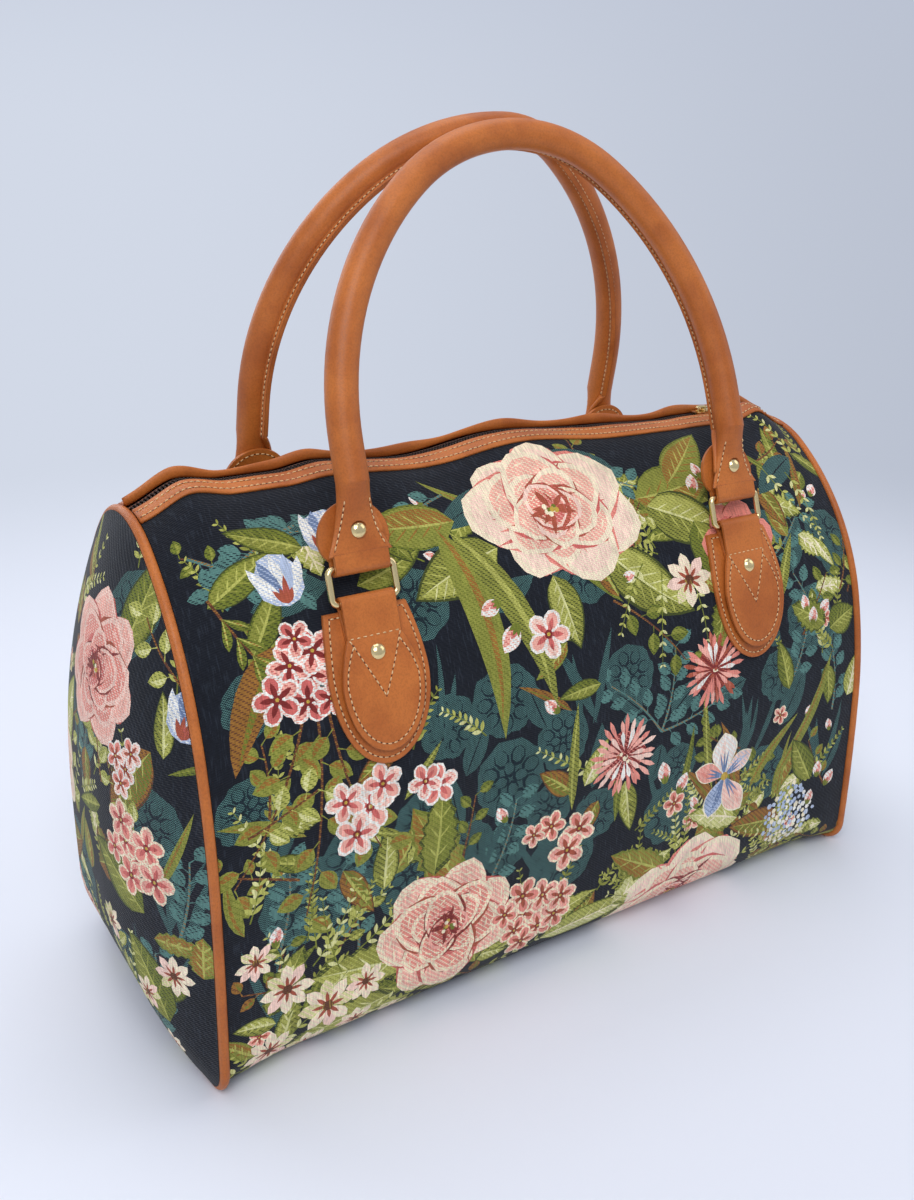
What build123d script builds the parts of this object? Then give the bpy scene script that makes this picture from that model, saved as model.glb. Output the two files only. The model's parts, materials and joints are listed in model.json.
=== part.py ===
from build123d import *
import math
import os

# A tapestry holdall with rounded ends, a zipped top and two rolled leather handles.
# Millimetres. X runs along the bag, the front faces -Y, Z is up, and the origin is the
# middle of the base on the surface that the bag stands on.

# Body of the bag
bag_length = 448.0
end_half_depth = 102.0
end_height = 290.0
end_corner = 16.0
middle_swell = 3.0
middle_rise = 10.0
middle_corner = 38.0
widest_drop = 175.0
shoulder_drop = 104.0
swell_run = 48.0
end_bulge = 31.0
end_rounding = 2.6

# How far each arc of the end outline turns, from the flat base up to the ridge
corner_turn = 86.0
lower_side_turn = 4.0
upper_side_turn = 12.0
shoulder_turn = 43.0
top_turn = 35.0

# Cloth, leather and lining
cloth_thickness = 1.4
leather_thickness = 1.8
strap_thickness = 1.6
lining_thickness = 0.8
tape_thickness = 0.6
piping_radius = 2.6
piping_flange_depth = 9.0
piping_flange_thickness = 1.2
board_thickness = 3.0
board_end_gap = 2.0
board_corner = 12.0
ply_gap = 0.2
lining_inset = 2.8
lining_end_gap = 4.0
seam_gap = 0.4

# Zip along the ridge
cloth_opening = 8.0
band_inner = 5.6
band_width = 13.0
tape_inner = 1.8
tape_outer = 14.5
lining_opening = 10.0
coil_inner = 0.8
coil_outer = 3.0
coil_rise = 0.4
slider_x = 162.0
slider_length = 14.0
slider_half_width = 4.2
slider_plate = 1.2
slider_lip = 0.8
slider_web = 1.0
slider_clearance = 0.3
bridge_length = 8.0
bridge_height = 3.6
bridge_half_width = 1.0
pull_length = 24.0
pull_half_width = 4.2
pull_thickness = 1.4
pull_bar_radius = 0.7
pull_slot_length = 5.0
pull_slot_width = 4.0

# Tabs that carry the handles. Heights on a tab are given down from its top edge.
tab_spacing = 128.0
tab_drop = 47.0
tab_length = 76.0
tab_waist_drop = 31.0
tab_width = 56.0
tab_top_width = 47.0
shield_top_drop = 14.0
shield_waist_drop = 34.0
shield_length = 54.0
shield_width = 45.0
strap_end_drop = 31.0
fold_rise = 2.0
fold_overlap = 2.8
tab_rivet_drop = 21.0

# Rings and rivets
ring_inner_width = 33.0
ring_height = 18.0
ring_wire = 1.8
ring_corner = 3.2
running_clearance = 0.3
rivet_cap_radius = 4.2
rivet_cap_height = 1.8
rivet_cap_flat = 0.5
rivet_shank_radius = 1.2
rivet_hole_radius = 1.3
washer_radius = 4.0
washer_thickness = 0.9

# Rolled handles
handle_radius = 8.7
handle_wall = 1.6
handle_rise = 222.0
handle_leg = 62.0
arch_turn = 50.0
front_apex_reach = 11.6
back_handle_setback = 4.0
front_sway = 5.0
back_sway = 20.0
end_width = 36.0
flap_width = 40.0
flap_length = 34.0
flap_neck = 4.0
end_neck = 42.0
end_flat_rise = 6.0
end_flat_thickness = 2.0
handle_rivet_rise = 18.0
seam_lip = 4.0
seam_angle = 70.0
fold_side_gap = 1.3

half_length = bag_length / 2
straight_half = half_length - swell_run
body_top = end_height + middle_rise
widest_height = end_height - widest_drop
shoulder_height = end_height - shoulder_drop
tab_top = end_height - tab_drop
fold_height = tab_top + fold_rise
fold_half_width = ring_inner_width / 2 - fold_side_gap
shield_top = tab_top - shield_top_drop
tab_rivet_height = tab_top - tab_rivet_drop
beyond = 2 * body_top + 100


def sine(degrees):
    return math.sin(math.radians(degrees))


def cosine(degrees):
    return math.cos(math.radians(degrees))


def section_plane(x):
    """Plane across the bag at x, with its own x to the back and its own y up"""
    return Plane(origin=(x, 0, 0), x_dir=(0, 1, 0), z_dir=(1, 0, 0))


def outline_arcs(share):
    """Arcs of the body's half outline, as (radius, turn), with its flat and its base level.

    share is 0 at the piping and 1 in the straight middle of the bag. Above 1 the corners grow rounder.
    """
    half_depth = end_half_depth + middle_swell * share
    base = piping_radius * (1 - share)
    top = end_height + middle_rise * share
    corner = end_corner + (middle_corner - end_corner) * share
    lift = base + corner * (1 - cosine(corner_turn))
    lower_side = (widest_height - lift) / cosine(corner_turn)
    upper_side = (shoulder_height - widest_height) / sine(upper_side_turn)
    start = 90 + upper_side_turn
    turned = start + shoulder_turn
    rise = top - shoulder_height
    reach = half_depth - upper_side * (1 - cosine(upper_side_turn))
    a, b = cosine(start) - cosine(turned), cosine(turned) + 1
    c, d = sine(start) - sine(turned), sine(turned)
    shoulder = (rise * d - b * reach) / (a * d - b * c)
    crown = (a * reach - c * rise) / (a * d - b * c)
    flat = half_depth - corner * sine(corner_turn) - lower_side * (1 - sine(corner_turn))
    arcs = [
        (corner, corner_turn),
        (lower_side, lower_side_turn),
        (upper_side, upper_side_turn),
        (shoulder, shoulder_turn),
        (crown, top_turn),
    ]
    return arcs, flat, base


def draw_half_outline(share, inset=0.0, pivot=0.0, size=1.0):
    """Half of the outline, from the middle of the base to the ridge"""
    arcs, flat, base = outline_arcs(share)
    level = (base + inset - pivot) * size
    edge = Line((0, level), (flat * size, level))
    for radius, turn in arcs:
        edge = JernArc(edge @ 1, edge % 1, (radius - inset) * size, turn)


def draw_outline(share, inset=0.0, pivot=0.0, size=1.0):
    """Closed face of the outline, drawn in by inset and scaled about pivot"""
    with BuildLine() as half:
        draw_half_outline(share, inset, pivot, size)
        mirror(about=Plane.YZ)
    make_face(half.edges())


def wall_point(turn, outset, share=1.0):
    """Point (y, z) and outward normal of the front wall where the outline has turned this far"""
    arcs, flat, base = outline_arcs(share)
    y, z, angle = flat, base, 0.0
    for radius, arc_turn in arcs:
        step = min(arc_turn, turn - angle)
        y += radius * (sine(angle + step) - sine(angle))
        z += radius * (cosine(angle) - cosine(angle + step))
        angle += step
        if angle >= turn:
            break
    normal = (sine(turn), -cosine(turn))
    return (-(y + outset * normal[0]), z + outset * normal[1]), (-normal[0], normal[1])


def turn_at_height(height):
    """Turn of the middle outline where the shoulder arc reaches this height"""
    arcs, flat, base = outline_arcs(1.0)
    shoulder = arcs[3][0]
    start = 90 + upper_side_turn
    return math.degrees(math.acos(cosine(start) - (height - shoulder_height) / shoulder))


def body_blank(inset):
    """Closed solid of the whole body, drawn in by inset"""
    with BuildPart() as blank:
        for side in (-1, 1):
            for step in range(4):
                place = step / 3
                with BuildSketch(section_plane(side * (half_length - place * swell_run))):
                    draw_outline(1 - (1 - place) ** 2, inset)
            loft()
        with BuildSketch(section_plane(-straight_half)):
            draw_outline(1.0, inset)
        extrude(amount=2 * straight_half)
    return blank.part


def trimmed_body(inset, reach):
    """Body blank cut off square at reach either side of the middle"""
    with BuildPart() as trimmed:
        add(body_blank(inset))
        with BuildSketch(section_plane(-reach)):
            Rectangle(2 * beyond, 2 * beyond)
        extrude(amount=2 * reach, mode=Mode.INTERSECT)
    return trimmed.part


def dome_blank(inset):
    """Closed solid of the swollen left end, from the piping outwards"""
    rim = half_length + piping_radius + ply_gap
    with BuildPart() as blank:
        for size in (1.0, 0.93, 0.8, 0.6, 0.35, 0.08):
            bulge = (end_bulge - inset) * (1 - size**2.5)
            plane = Plane(origin=(-rim - bulge, 0, widest_height), x_dir=(0, 1, 0), z_dir=(1, 0, 0))
            with BuildSketch(plane):
                draw_outline(end_rounding * (1 - size), inset, pivot=widest_height, size=size)
        loft()
    return blank.part


def layer(outer_inset, inner_inset):
    """Skin between two insets of the body"""
    with BuildPart() as skin:
        add(body_blank(outer_inset))
        add(body_blank(inner_inset), mode=Mode.SUBTRACT)
    return skin.part


def ridge_strip(skin, inner, outer, reach):
    """Front strip of a skin along the ridge, between two distances from the centre line"""
    with BuildPart() as strip:
        add(skin)
        with BuildSketch(section_plane(-reach)):
            with Locations((-(inner + outer) / 2, beyond / 2 + widest_height)):
                Rectangle(outer - inner, beyond)
        extrude(amount=2 * reach, mode=Mode.INTERSECT)
    return strip.part


def to_back(piece):
    return mirror(piece, about=Plane.XZ)


def to_right(piece):
    return mirror(piece, about=Plane.YZ)


def to_corner(piece, corner_name):
    """Copy of a front left piece at the named corner of the bag"""
    placed = piece
    if corner_name.endswith("right"):
        placed = to_right(placed)
    if corner_name.startswith("back"):
        placed = to_back(placed)
    return placed


def rivet_bore(plane, reach):
    """Hole for a rivet's shank, along the y axis of its plane, this far to either side"""
    start = plane.from_local_coords((0, -reach, 0))
    with BuildPart() as bore:
        with BuildSketch(Plane(origin=start, z_dir=plane.y_dir)):
            Circle(rivet_hole_radius)
        extrude(amount=2 * reach)
    return bore.part


def save(piece, name):
    piece.label = name
    export_step(piece, f"parts/{name}.step")


os.makedirs("parts", exist_ok=True)

# The rivet of a tab passes through the loop, the backing and the cloth
rivet_point, rivet_normal = wall_point(turn_at_height(tab_rivet_height), 0.0)
tab_rivet_plane = Plane(
    origin=(-tab_spacing, rivet_point[0], rivet_point[1]),
    x_dir=(1, 0, 0),
    z_dir=(0, -rivet_normal[1], rivet_normal[0]),
)
tab_rivet_bore = rivet_bore(tab_rivet_plane, end_corner)

panel_reach = half_length - piping_radius - ply_gap
cloth_skin = layer(0.0, cloth_thickness)
leather_skin = layer(-ply_gap - leather_thickness, -ply_gap)

# Tapestry panels: each one runs from the zip band down the wall to the seam under the base
with BuildPart() as front_panel:
    add(cloth_skin)
    with BuildSketch(section_plane(-panel_reach)):
        with BuildLine():
            Polyline(
                (-seam_gap / 2, -piping_radius),
                (-seam_gap / 2, widest_height),
                (-cloth_opening, widest_height),
                (-cloth_opening, beyond),
                (-beyond, beyond),
                (-beyond, -piping_radius),
                close=True,
            )
        make_face()
    extrude(amount=2 * panel_reach, mode=Mode.INTERSECT)
    add(tab_rivet_bore, mode=Mode.SUBTRACT)
    add(to_right(tab_rivet_bore), mode=Mode.SUBTRACT)
save(front_panel.part, "front_panel")
save(to_back(front_panel.part), "back_panel")

# End panels: swollen discs of the same cloth
with BuildPart() as left_end_panel:
    add(dome_blank(0.0))
    add(dome_blank(cloth_thickness), mode=Mode.SUBTRACT)
save(left_end_panel.part, "left_end_panel")
save(to_right(left_end_panel.part), "right_end_panel")

# Piping: a leather covered cord round each end, with the flange that the seam holds
with BuildPart() as left_piping:
    with BuildLine(section_plane(-half_length)) as piping_path:
        draw_half_outline(0.0)
    with BuildSketch(Plane(origin=piping_path.line @ 0, z_dir=piping_path.line % 0)):
        Circle(piping_radius)
    sweep()
    mirror(about=Plane.XZ)
    with BuildSketch(section_plane(-half_length - piping_flange_thickness / 2)):
        draw_outline(0.0, piping_radius / 2)
        with BuildSketch(mode=Mode.SUBTRACT):
            draw_outline(0.0, piping_flange_depth)
    extrude(amount=piping_flange_thickness)
save(left_piping.part, "left_piping")
save(to_right(left_piping.part), "right_piping")

# Lining: a closed inner bag, open only under the zip
lining_reach = half_length - lining_end_gap
with BuildPart() as lining:
    add(trimmed_body(lining_inset, lining_reach))
    add(trimmed_body(lining_inset + lining_thickness, lining_reach - lining_thickness), mode=Mode.SUBTRACT)
    with BuildSketch(Plane.XY.offset(widest_height)):
        Rectangle(2 * (lining_reach - lining_opening), 2 * lining_opening)
    extrude(amount=beyond, mode=Mode.SUBTRACT)
save(lining.part, "lining")

# Stiff board that lies on the lining over the base
board_level = lining_inset + lining_thickness + ply_gap
middle_flat = outline_arcs(1.0)[1]
with BuildPart() as base_board:
    with BuildSketch(Plane.XY.offset(board_level)):
        RectangleRounded(2 * straight_half - 2 * board_end_gap, 2 * middle_flat, board_corner)
    extrude(amount=board_thickness)
save(base_board.part, "base_board")

# Zip: leather bands outside, tape under them, and a row of teeth on each tape's edge
band = ridge_strip(leather_skin, band_inner, band_inner + band_width, panel_reach)
tape_level = cloth_thickness + ply_gap
tape = ridge_strip(layer(tape_level, tape_level + tape_thickness), tape_inner, tape_outer, panel_reach)
teeth = ridge_strip(layer(-coil_rise, tape_level - ply_gap), coil_inner, coil_outer, panel_reach)
for name, piece in (("zip_band", band), ("zip_tape", tape), ("zip_teeth", teeth)):
    save(piece, f"front_{name}")
    save(to_back(piece), f"back_{name}")

# Zip slider: two plates joined by a web that rides between the rows of teeth
upper_plate_level = body_top + coil_rise + slider_clearance
tape_underside = body_top - tape_level - tape_thickness
lower_plate_level = tape_underside - slider_clearance - slider_plate
bridge_hole = bridge_height - slider_plate
pull_pivot = (slider_x, 0, upper_plate_level + slider_plate + bridge_hole / 2)
with BuildPart() as zip_slider:
    with BuildSketch(Plane.XY.offset(lower_plate_level)):
        with Locations((slider_x, 0)):
            RectangleRounded(slider_length, 2 * slider_half_width, 3)
    extrude(amount=slider_plate)
    with BuildSketch(Plane.XY.offset(upper_plate_level)):
        with Locations((slider_x, 0)):
            RectangleRounded(slider_length, 2 * slider_half_width, 3)
    extrude(amount=slider_plate)
    with BuildSketch(Plane.XY.offset(lower_plate_level + slider_plate / 2)):
        with Locations((slider_x + slider_length / 4, 0)):
            SlotOverall(slider_length / 3, slider_web)
    extrude(amount=upper_plate_level - lower_plate_level)
    lip_height = upper_plate_level - (tape_underside + tape_thickness) - slider_clearance
    with BuildSketch(Plane.XY.offset(upper_plate_level - lip_height)):
        for side in (-1, 1):
            with Locations((slider_x, side * (slider_half_width - slider_lip / 2))):
                Rectangle(slider_length - 6, slider_lip)
    extrude(amount=lip_height + slider_plate / 2)
    bridge_level = upper_plate_level + slider_plate
    bridge_plane = Plane(origin=(slider_x, bridge_half_width, bridge_level), x_dir=(1, 0, 0), z_dir=(0, -1, 0))
    with BuildSketch(bridge_plane):
        with Locations((0, bridge_height / 2 - 0.2)):
            RectangleRounded(bridge_length, bridge_height + 0.4, 1.6)
        with Locations((0, bridge_hole / 2)):
            SlotOverall(bridge_length - 2 * slider_plate, bridge_hole, mode=Mode.SUBTRACT)
    extrude(amount=2 * bridge_half_width)
save(zip_slider.part, "zip_slider")

# Zip pull: a bar through the slider's bridge, two arms and a slotted plate
pull_arm = bridge_length / 2 + 1.6
with BuildPart() as zip_pull:
    with BuildSketch(Plane.XY.offset(pull_pivot[2] - pull_thickness / 2)):
        with Locations((slider_x + pull_length / 2, 0)):
            RectangleRounded(pull_length, 2 * pull_half_width, 1.5)
        with Locations((slider_x + pull_arm / 2 - 0.5, 0)):
            Rectangle(pull_arm + 1, 2 * (bridge_half_width + 0.5), mode=Mode.SUBTRACT)
        with Locations((slider_x + pull_length - 2 - pull_slot_length / 2, 0)):
            RectangleRounded(pull_slot_length, pull_slot_width, 0.8, mode=Mode.SUBTRACT)
    extrude(amount=pull_thickness)
    bar_plane = Plane(origin=(slider_x, pull_half_width - 0.6, pull_pivot[2]), z_dir=(0, -1, 0))
    with BuildSketch(bar_plane):
        Circle(pull_bar_radius)
    extrude(amount=2 * (pull_half_width - 0.6))
save(zip_pull.part, "zip_pull")

# Tabs. The fold of each loop stands clear of the wall, round the lower bar of its ring.
backing_outset = ply_gap
strap_outset = backing_outset + leather_thickness + ply_gap
shield_outset = strap_outset + strap_thickness + ply_gap
fold_inner = ring_wire + running_clearance
fold_outer = fold_inner + strap_thickness
fold_turn = turn_at_height(fold_height)
(fold_y, fold_z), fold_normal = wall_point(fold_turn, strap_outset + fold_outer)
fold_along = (fold_normal[1], -fold_normal[0])


def front_cut(draw_shape):
    """Prism through the front wall at the front left tab, from a shape drawn in elevation"""
    plane = Plane(origin=(-tab_spacing, 0, 0), x_dir=(1, 0, 0), z_dir=(0, -1, 0))
    with BuildPart() as prism:
        with BuildSketch(plane):
            draw_shape()
        extrude(amount=2 * end_half_depth)
    return prism.part


def draw_pointed(width, top_width, low, waist, high):
    """Straight top, sides that flare out to the waist, and a half ellipse below it"""
    middle = ((top_width + width) / 4 + (width - top_width) / 12, (high + waist) / 2)
    with BuildLine() as pointed:
        EllipticalCenterArc((0, waist), width / 2, waist - low, start_angle=180, arc_size=180)
        ThreePointArc((width / 2, waist), middle, (top_width / 2, high))
        Line((top_width / 2, high), (-top_width / 2, high))
        ThreePointArc((-top_width / 2, high), (-middle[0], middle[1]), (-width / 2, waist))
    make_face(pointed.edges())


def draw_backing():
    draw_pointed(tab_width, tab_top_width, tab_top - tab_length, tab_top - tab_waist_drop, tab_top)


def draw_shield():
    waist = tab_top - shield_waist_drop
    draw_pointed(shield_width, 2 * fold_half_width, shield_top - shield_length, waist, shield_top + fold_overlap)


def draw_strap():
    length = fold_rise + fold_overlap + strap_end_drop
    with Locations((0, fold_height + fold_overlap - length / 2)):
        Rectangle(2 * fold_half_width, length)


def draw_rivet(back, front):
    """Half section of a rivet: washer, shank and domed cap, between two heights on its axis"""
    with BuildLine() as half_rivet:
        Polyline(
            (0, back - washer_thickness),
            (washer_radius, back - washer_thickness),
            (washer_radius, back),
            (rivet_shank_radius, back),
            (rivet_shank_radius, front),
            (rivet_cap_radius, front),
        )
        top = front + rivet_cap_height
        TangentArc((rivet_cap_flat, top), (rivet_cap_radius, front), tangent=(1, 0))
        Polyline((rivet_cap_flat, top), (0, top), (0, back - washer_thickness))
    make_face(half_rivet.edges())


with BuildPart() as tab_backing:
    add(layer(-backing_outset - leather_thickness, -backing_outset))
    add(front_cut(draw_backing), mode=Mode.INTERSECT)
    add(tab_rivet_bore, mode=Mode.SUBTRACT)

# Cross section of the loop's fold: off the shield, round the ring's bar and back to the wall
outer_point = wall_point(turn_at_height(shield_top), shield_outset + strap_thickness)[0]
inner_point = wall_point(turn_at_height(shield_top), shield_outset)[0]


def on_fold(radius, direction):
    return fold_y + radius * direction[0], fold_z + radius * direction[1]


def tangent_to_fold(point, radius):
    """Where a line from a point below meets the outer side of a circle about the ring's bar"""
    gap_y, gap_z = point[0] - fold_y, point[1] - fold_z
    angle = math.atan2(gap_z, gap_y) - math.acos(radius / math.hypot(gap_y, gap_z))
    return on_fold(radius, (math.cos(angle), math.sin(angle)))


inward = (-fold_normal[0], -fold_normal[1])
outer_tangent = tangent_to_fold(outer_point, fold_outer)
inner_tangent = tangent_to_fold(inner_point, fold_inner)
with BuildPart() as tab_fold:
    with BuildSketch(section_plane(-tab_spacing - fold_half_width)):
        with BuildLine():
            Line(outer_point, outer_tangent)
            ThreePointArc(outer_tangent, on_fold(fold_outer, fold_along), on_fold(fold_outer, inward))
            Line(on_fold(fold_outer, inward), on_fold(fold_inner, inward))
            ThreePointArc(on_fold(fold_inner, inward), on_fold(fold_inner, fold_along), inner_tangent)
            Line(inner_tangent, inner_point)
            Line(inner_point, outer_point)
        make_face()
    extrude(amount=2 * fold_half_width)

with BuildPart() as tab_strap:
    add(layer(-strap_outset - strap_thickness, -strap_outset))
    add(front_cut(draw_strap), mode=Mode.INTERSECT)

with BuildPart() as tab_loop:
    add(layer(-shield_outset - strap_thickness, -shield_outset))
    add(front_cut(draw_shield), mode=Mode.INTERSECT)
    add(tab_fold.part)
    add(tab_strap.part)
    add(tab_rivet_bore, mode=Mode.SUBTRACT)

with BuildPart() as tab_rivet:
    with BuildSketch(tab_rivet_plane):
        draw_rivet(-cloth_thickness - ply_gap, shield_outset + strap_thickness + ply_gap)
    revolve(axis=Axis(tab_rivet_plane.origin, tab_rivet_plane.y_dir))

# Rings lean with the handle: the front handle's top comes close to the bag's centre line
handle_offset = handle_radius + ply_gap - fold_inner
axis_height = ring_height + handle_rise
apex_reach = -fold_y - front_apex_reach
lean = math.degrees(
    math.asin(apex_reach / math.hypot(axis_height, handle_offset)) + math.atan(handle_offset / axis_height)
)
lean_up = (0, sine(lean), cosine(lean))
lean_out = (0, -cosine(lean), sine(lean))
ring_plane = Plane(origin=(-tab_spacing, fold_y, fold_z), x_dir=(1, 0, 0), z_dir=lean_out)
upper_bar = ring_plane.from_local_coords((0, ring_height, 0))
ring_half_width = ring_inner_width / 2 + ring_wire

with BuildPart() as ring:
    with BuildLine(ring_plane) as ring_path:
        FilletPolyline(
            (0, 0),
            (ring_half_width, 0),
            (ring_half_width, ring_height),
            (0, ring_height),
            radius=ring_corner,
        )
    with BuildSketch(Plane(origin=ring_path.line @ 0, z_dir=ring_path.line % 0)):
        Circle(ring_wire)
    sweep()
    mirror(about=Plane.YZ.offset(-tab_spacing))



def set_back(piece):
    """Copy of a front handle's piece for the back, where the handle stands a few degrees back"""
    return to_back(piece).rotate(Axis((0, -fold_y, fold_z), (1, 0, 0)), -back_handle_setback)


def hung(piece, corner_name):
    """Copy of a front left piece of the rings or handles at the named corner"""
    placed = to_right(piece) if corner_name.endswith("right") else piece
    return set_back(placed) if corner_name.startswith("back") else placed


corners = ("front_left", "front_right", "back_left", "back_right")
for corner in corners:
    save(to_corner(tab_backing.part, corner), f"{corner}_tab_backing")
    save(to_corner(tab_loop.part, corner), f"{corner}_tab_loop")
    save(to_corner(tab_rivet.part, corner), f"{corner}_tab_rivet")
    save(hung(ring.part, corner), f"{corner}_ring")

# Handle ends: flattened tube in front, a fold round the ring's upper bar, a flap behind
end_plane = Plane(origin=upper_bar, x_dir=(1, 0, 0), z_dir=lean_out)
end_section = Plane(
    origin=end_plane.from_local_coords((-fold_half_width, 0, 0)), x_dir=lean_out, z_dir=(-1, 0, 0)
)
end_inner = ring_wire + running_clearance
end_outer = end_inner + end_flat_thickness
handle_rivet_plane = Plane(
    origin=end_plane.from_local_coords((0, handle_rivet_rise, 0)), x_dir=(1, 0, 0), z_dir=-end_plane.y_dir
)


def tube_half_depth(rise):
    """Half depth of the flattened tube at this rise: full at the neck, thin at the fold"""
    share = max(0.0, min(1.0, (rise - end_flat_rise) / (end_neck - end_flat_rise)))
    return end_flat_thickness / 2 + (handle_radius - end_flat_thickness / 2) * share**1.4


def tube_half_width(rise):
    share = max(0.0, min(1.0, (rise - end_flat_rise) / (end_neck - end_flat_rise)))
    return end_width / 2 + (handle_radius - end_width / 2) * (1 - (1 - share) ** 2)


def tube_offset(rise):
    """Distance of the flattened tube's middle in front of the ring's plane"""
    share = max(0.0, min(1.0, (rise - end_flat_rise) / (end_neck - end_flat_rise)))
    back = end_inner * (1 - share) ** 2 - (end_inner - ply_gap) * (1 - (1 - share) ** 2)
    return back + tube_half_depth(rise)


rivet_front = tube_offset(handle_rivet_rise) + tube_half_depth(handle_rivet_rise)
handle_rivet_seat = Plane(
    origin=handle_rivet_plane.from_local_coords((0, rivet_front, 0)), z_dir=handle_rivet_plane.y_dir
)

with BuildPart() as handle_end:
    for step in range(6):
        rise = end_neck + (end_flat_rise - end_neck) * step / 5
        origin = end_plane.from_local_coords((0, rise, tube_offset(rise)))
        with BuildSketch(Plane(origin=origin, x_dir=(1, 0, 0), z_dir=end_plane.y_dir)):
            Ellipse(tube_half_width(rise), tube_half_depth(rise))
    loft()
    with BuildSketch(end_section):
        with BuildLine():
            front_top = end_flat_rise + 1
            back_top = 2 * flap_neck
            Line((end_outer, front_top), (end_outer, 0))
            ThreePointArc((end_outer, 0), (0, -end_outer), (-end_outer, 0))
            Polyline((-end_outer, 0), (-end_outer, back_top), (-end_inner, back_top), (-end_inner, 0))
            ThreePointArc((-end_inner, 0), (0, -end_inner), (end_inner, 0))
            Polyline((end_inner, 0), (end_inner, front_top), (end_outer, front_top))
        make_face()
    extrude(amount=-2 * fold_half_width)
    with BuildSketch(end_plane.offset(-end_outer)):
        with BuildLine():
            flap_waist = flap_length - flap_width / 2
            flare = (flap_width / 2 - 1, (flap_neck + flap_waist) / 2)
            Line((-fold_half_width, 0), (-fold_half_width, flap_neck))
            ThreePointArc((-fold_half_width, flap_neck), (-flare[0], flare[1]), (-flap_width / 2, flap_waist))
            ThreePointArc((-flap_width / 2, flap_waist), (0, flap_length), (flap_width / 2, flap_waist))
            ThreePointArc((flap_width / 2, flap_waist), flare, (fold_half_width, flap_neck))
            Polyline((fold_half_width, flap_neck), (fold_half_width, 0), (-fold_half_width, 0))
        make_face()
    extrude(amount=end_flat_thickness)
    add(rivet_bore(handle_rivet_plane, end_width / 2), mode=Mode.SUBTRACT)
    with BuildSketch(handle_rivet_seat):
        Circle(rivet_cap_radius + running_clearance)
    extrude(amount=end_width / 2, mode=Mode.SUBTRACT)


def arch_radii(span, rise):
    """Radii of the two arcs that climb from an upright leg to the top of the arch"""
    a, b = 1 - cosine(arch_turn), cosine(arch_turn)
    c, d = sine(arch_turn), 1 - sine(arch_turn)
    lower = (span * d - b * rise) / (a * d - b * c)
    upper = (a * rise - c * span) / (a * d - b * c)
    return lower, upper


handle_plane = Plane(
    origin=(0, end_plane.origin.Y, end_plane.origin.Z) + end_plane.z_dir * handle_offset,
    x_dir=(1, 0, 0),
    z_dir=end_plane.z_dir,
)


def draw_arch(sway):
    """Centre line of the handle from the left neck over the top to the right neck"""
    climb = handle_rise - handle_leg
    left = Line((-tab_spacing, end_neck), (-tab_spacing, handle_leg))
    lower, upper = arch_radii(tab_spacing + sway, climb)
    rising = JernArc(left @ 1, left % 1, lower, -arch_turn)
    rounding = JernArc(rising @ 1, rising % 1, upper, arch_turn - 90)
    lower, upper = arch_radii(tab_spacing - sway, climb)
    falling = JernArc(rounding @ 1, rounding % 1, upper, arch_turn - 90)
    landing = JernArc(falling @ 1, falling % 1, lower, -arch_turn)
    Line(landing @ 1, (tab_spacing, end_neck))


def neck_section(path):
    return Plane(origin=path @ 0, x_dir=(1, 0, 0), z_dir=path % 0)


def sewn_handle(sway):
    """Leather of one handle, in its front position"""
    with BuildPart() as leather:
        with BuildLine(handle_plane) as arch:
            draw_arch(sway)
        with BuildSketch(neck_section(arch.line)):
            Circle(handle_radius)
            with Locations(Location((0, 0), seam_angle)):
                with Locations((handle_radius + seam_lip / 2 - 0.5, 0)):
                    Rectangle(seam_lip + 1, 2 * handle_wall)
            Circle(handle_radius - handle_wall, mode=Mode.SUBTRACT)
        sweep(path=arch.line)
        add(handle_end.part)
        add(to_right(handle_end.part))
    return leather.part


def handle_core(sway):
    """Cord that fills the rolled part of a handle"""
    with BuildPart() as core:
        with BuildLine(handle_plane) as arch:
            draw_arch(sway)
        with BuildSketch(neck_section(arch.line).offset(ply_gap)):
            Circle(handle_radius - handle_wall - ply_gap / 2)
        sweep(path=arch.line)
    return core.part


with BuildPart() as handle_rivet:
    with BuildSketch(handle_rivet_plane):
        draw_rivet(-end_outer - ply_gap, rivet_front + ply_gap)
    revolve(axis=Axis(handle_rivet_plane.origin, handle_rivet_plane.y_dir))

save(sewn_handle(front_sway), "front_handle_leather")
save(set_back(sewn_handle(back_sway)), "back_handle_leather")
save(handle_core(front_sway), "front_handle_core")
save(set_back(handle_core(back_sway)), "back_handle_core")
for corner in corners:
    save(hung(handle_rivet.part, corner), f"{corner}_handle_rivet")

back_lean = lean - back_handle_setback
print("lower bars at y", round(fold_y, 3), "and", round(-fold_y, 3), "z", round(fold_z, 3))
print("front upper bar at y", round(upper_bar.Y, 3), "z", round(upper_bar.Z, 3))
back_bar = (-fold_y - ring_height * sine(back_lean), fold_z + ring_height * cosine(back_lean))
print("back upper bar at y", round(back_bar[0], 3), "z", round(back_bar[1], 3))
print("lean of the handles", round(lean, 2), "and", round(back_lean, 2))
print("zip pull pivot at", [round(value, 2) for value in pull_pivot])
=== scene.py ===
import bmesh
import bpy
import json
import math
import random
import numpy as np
from mathutils import Euler, Matrix, Vector
from mathutils.geometry import delaunay_2d_cdt


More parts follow.
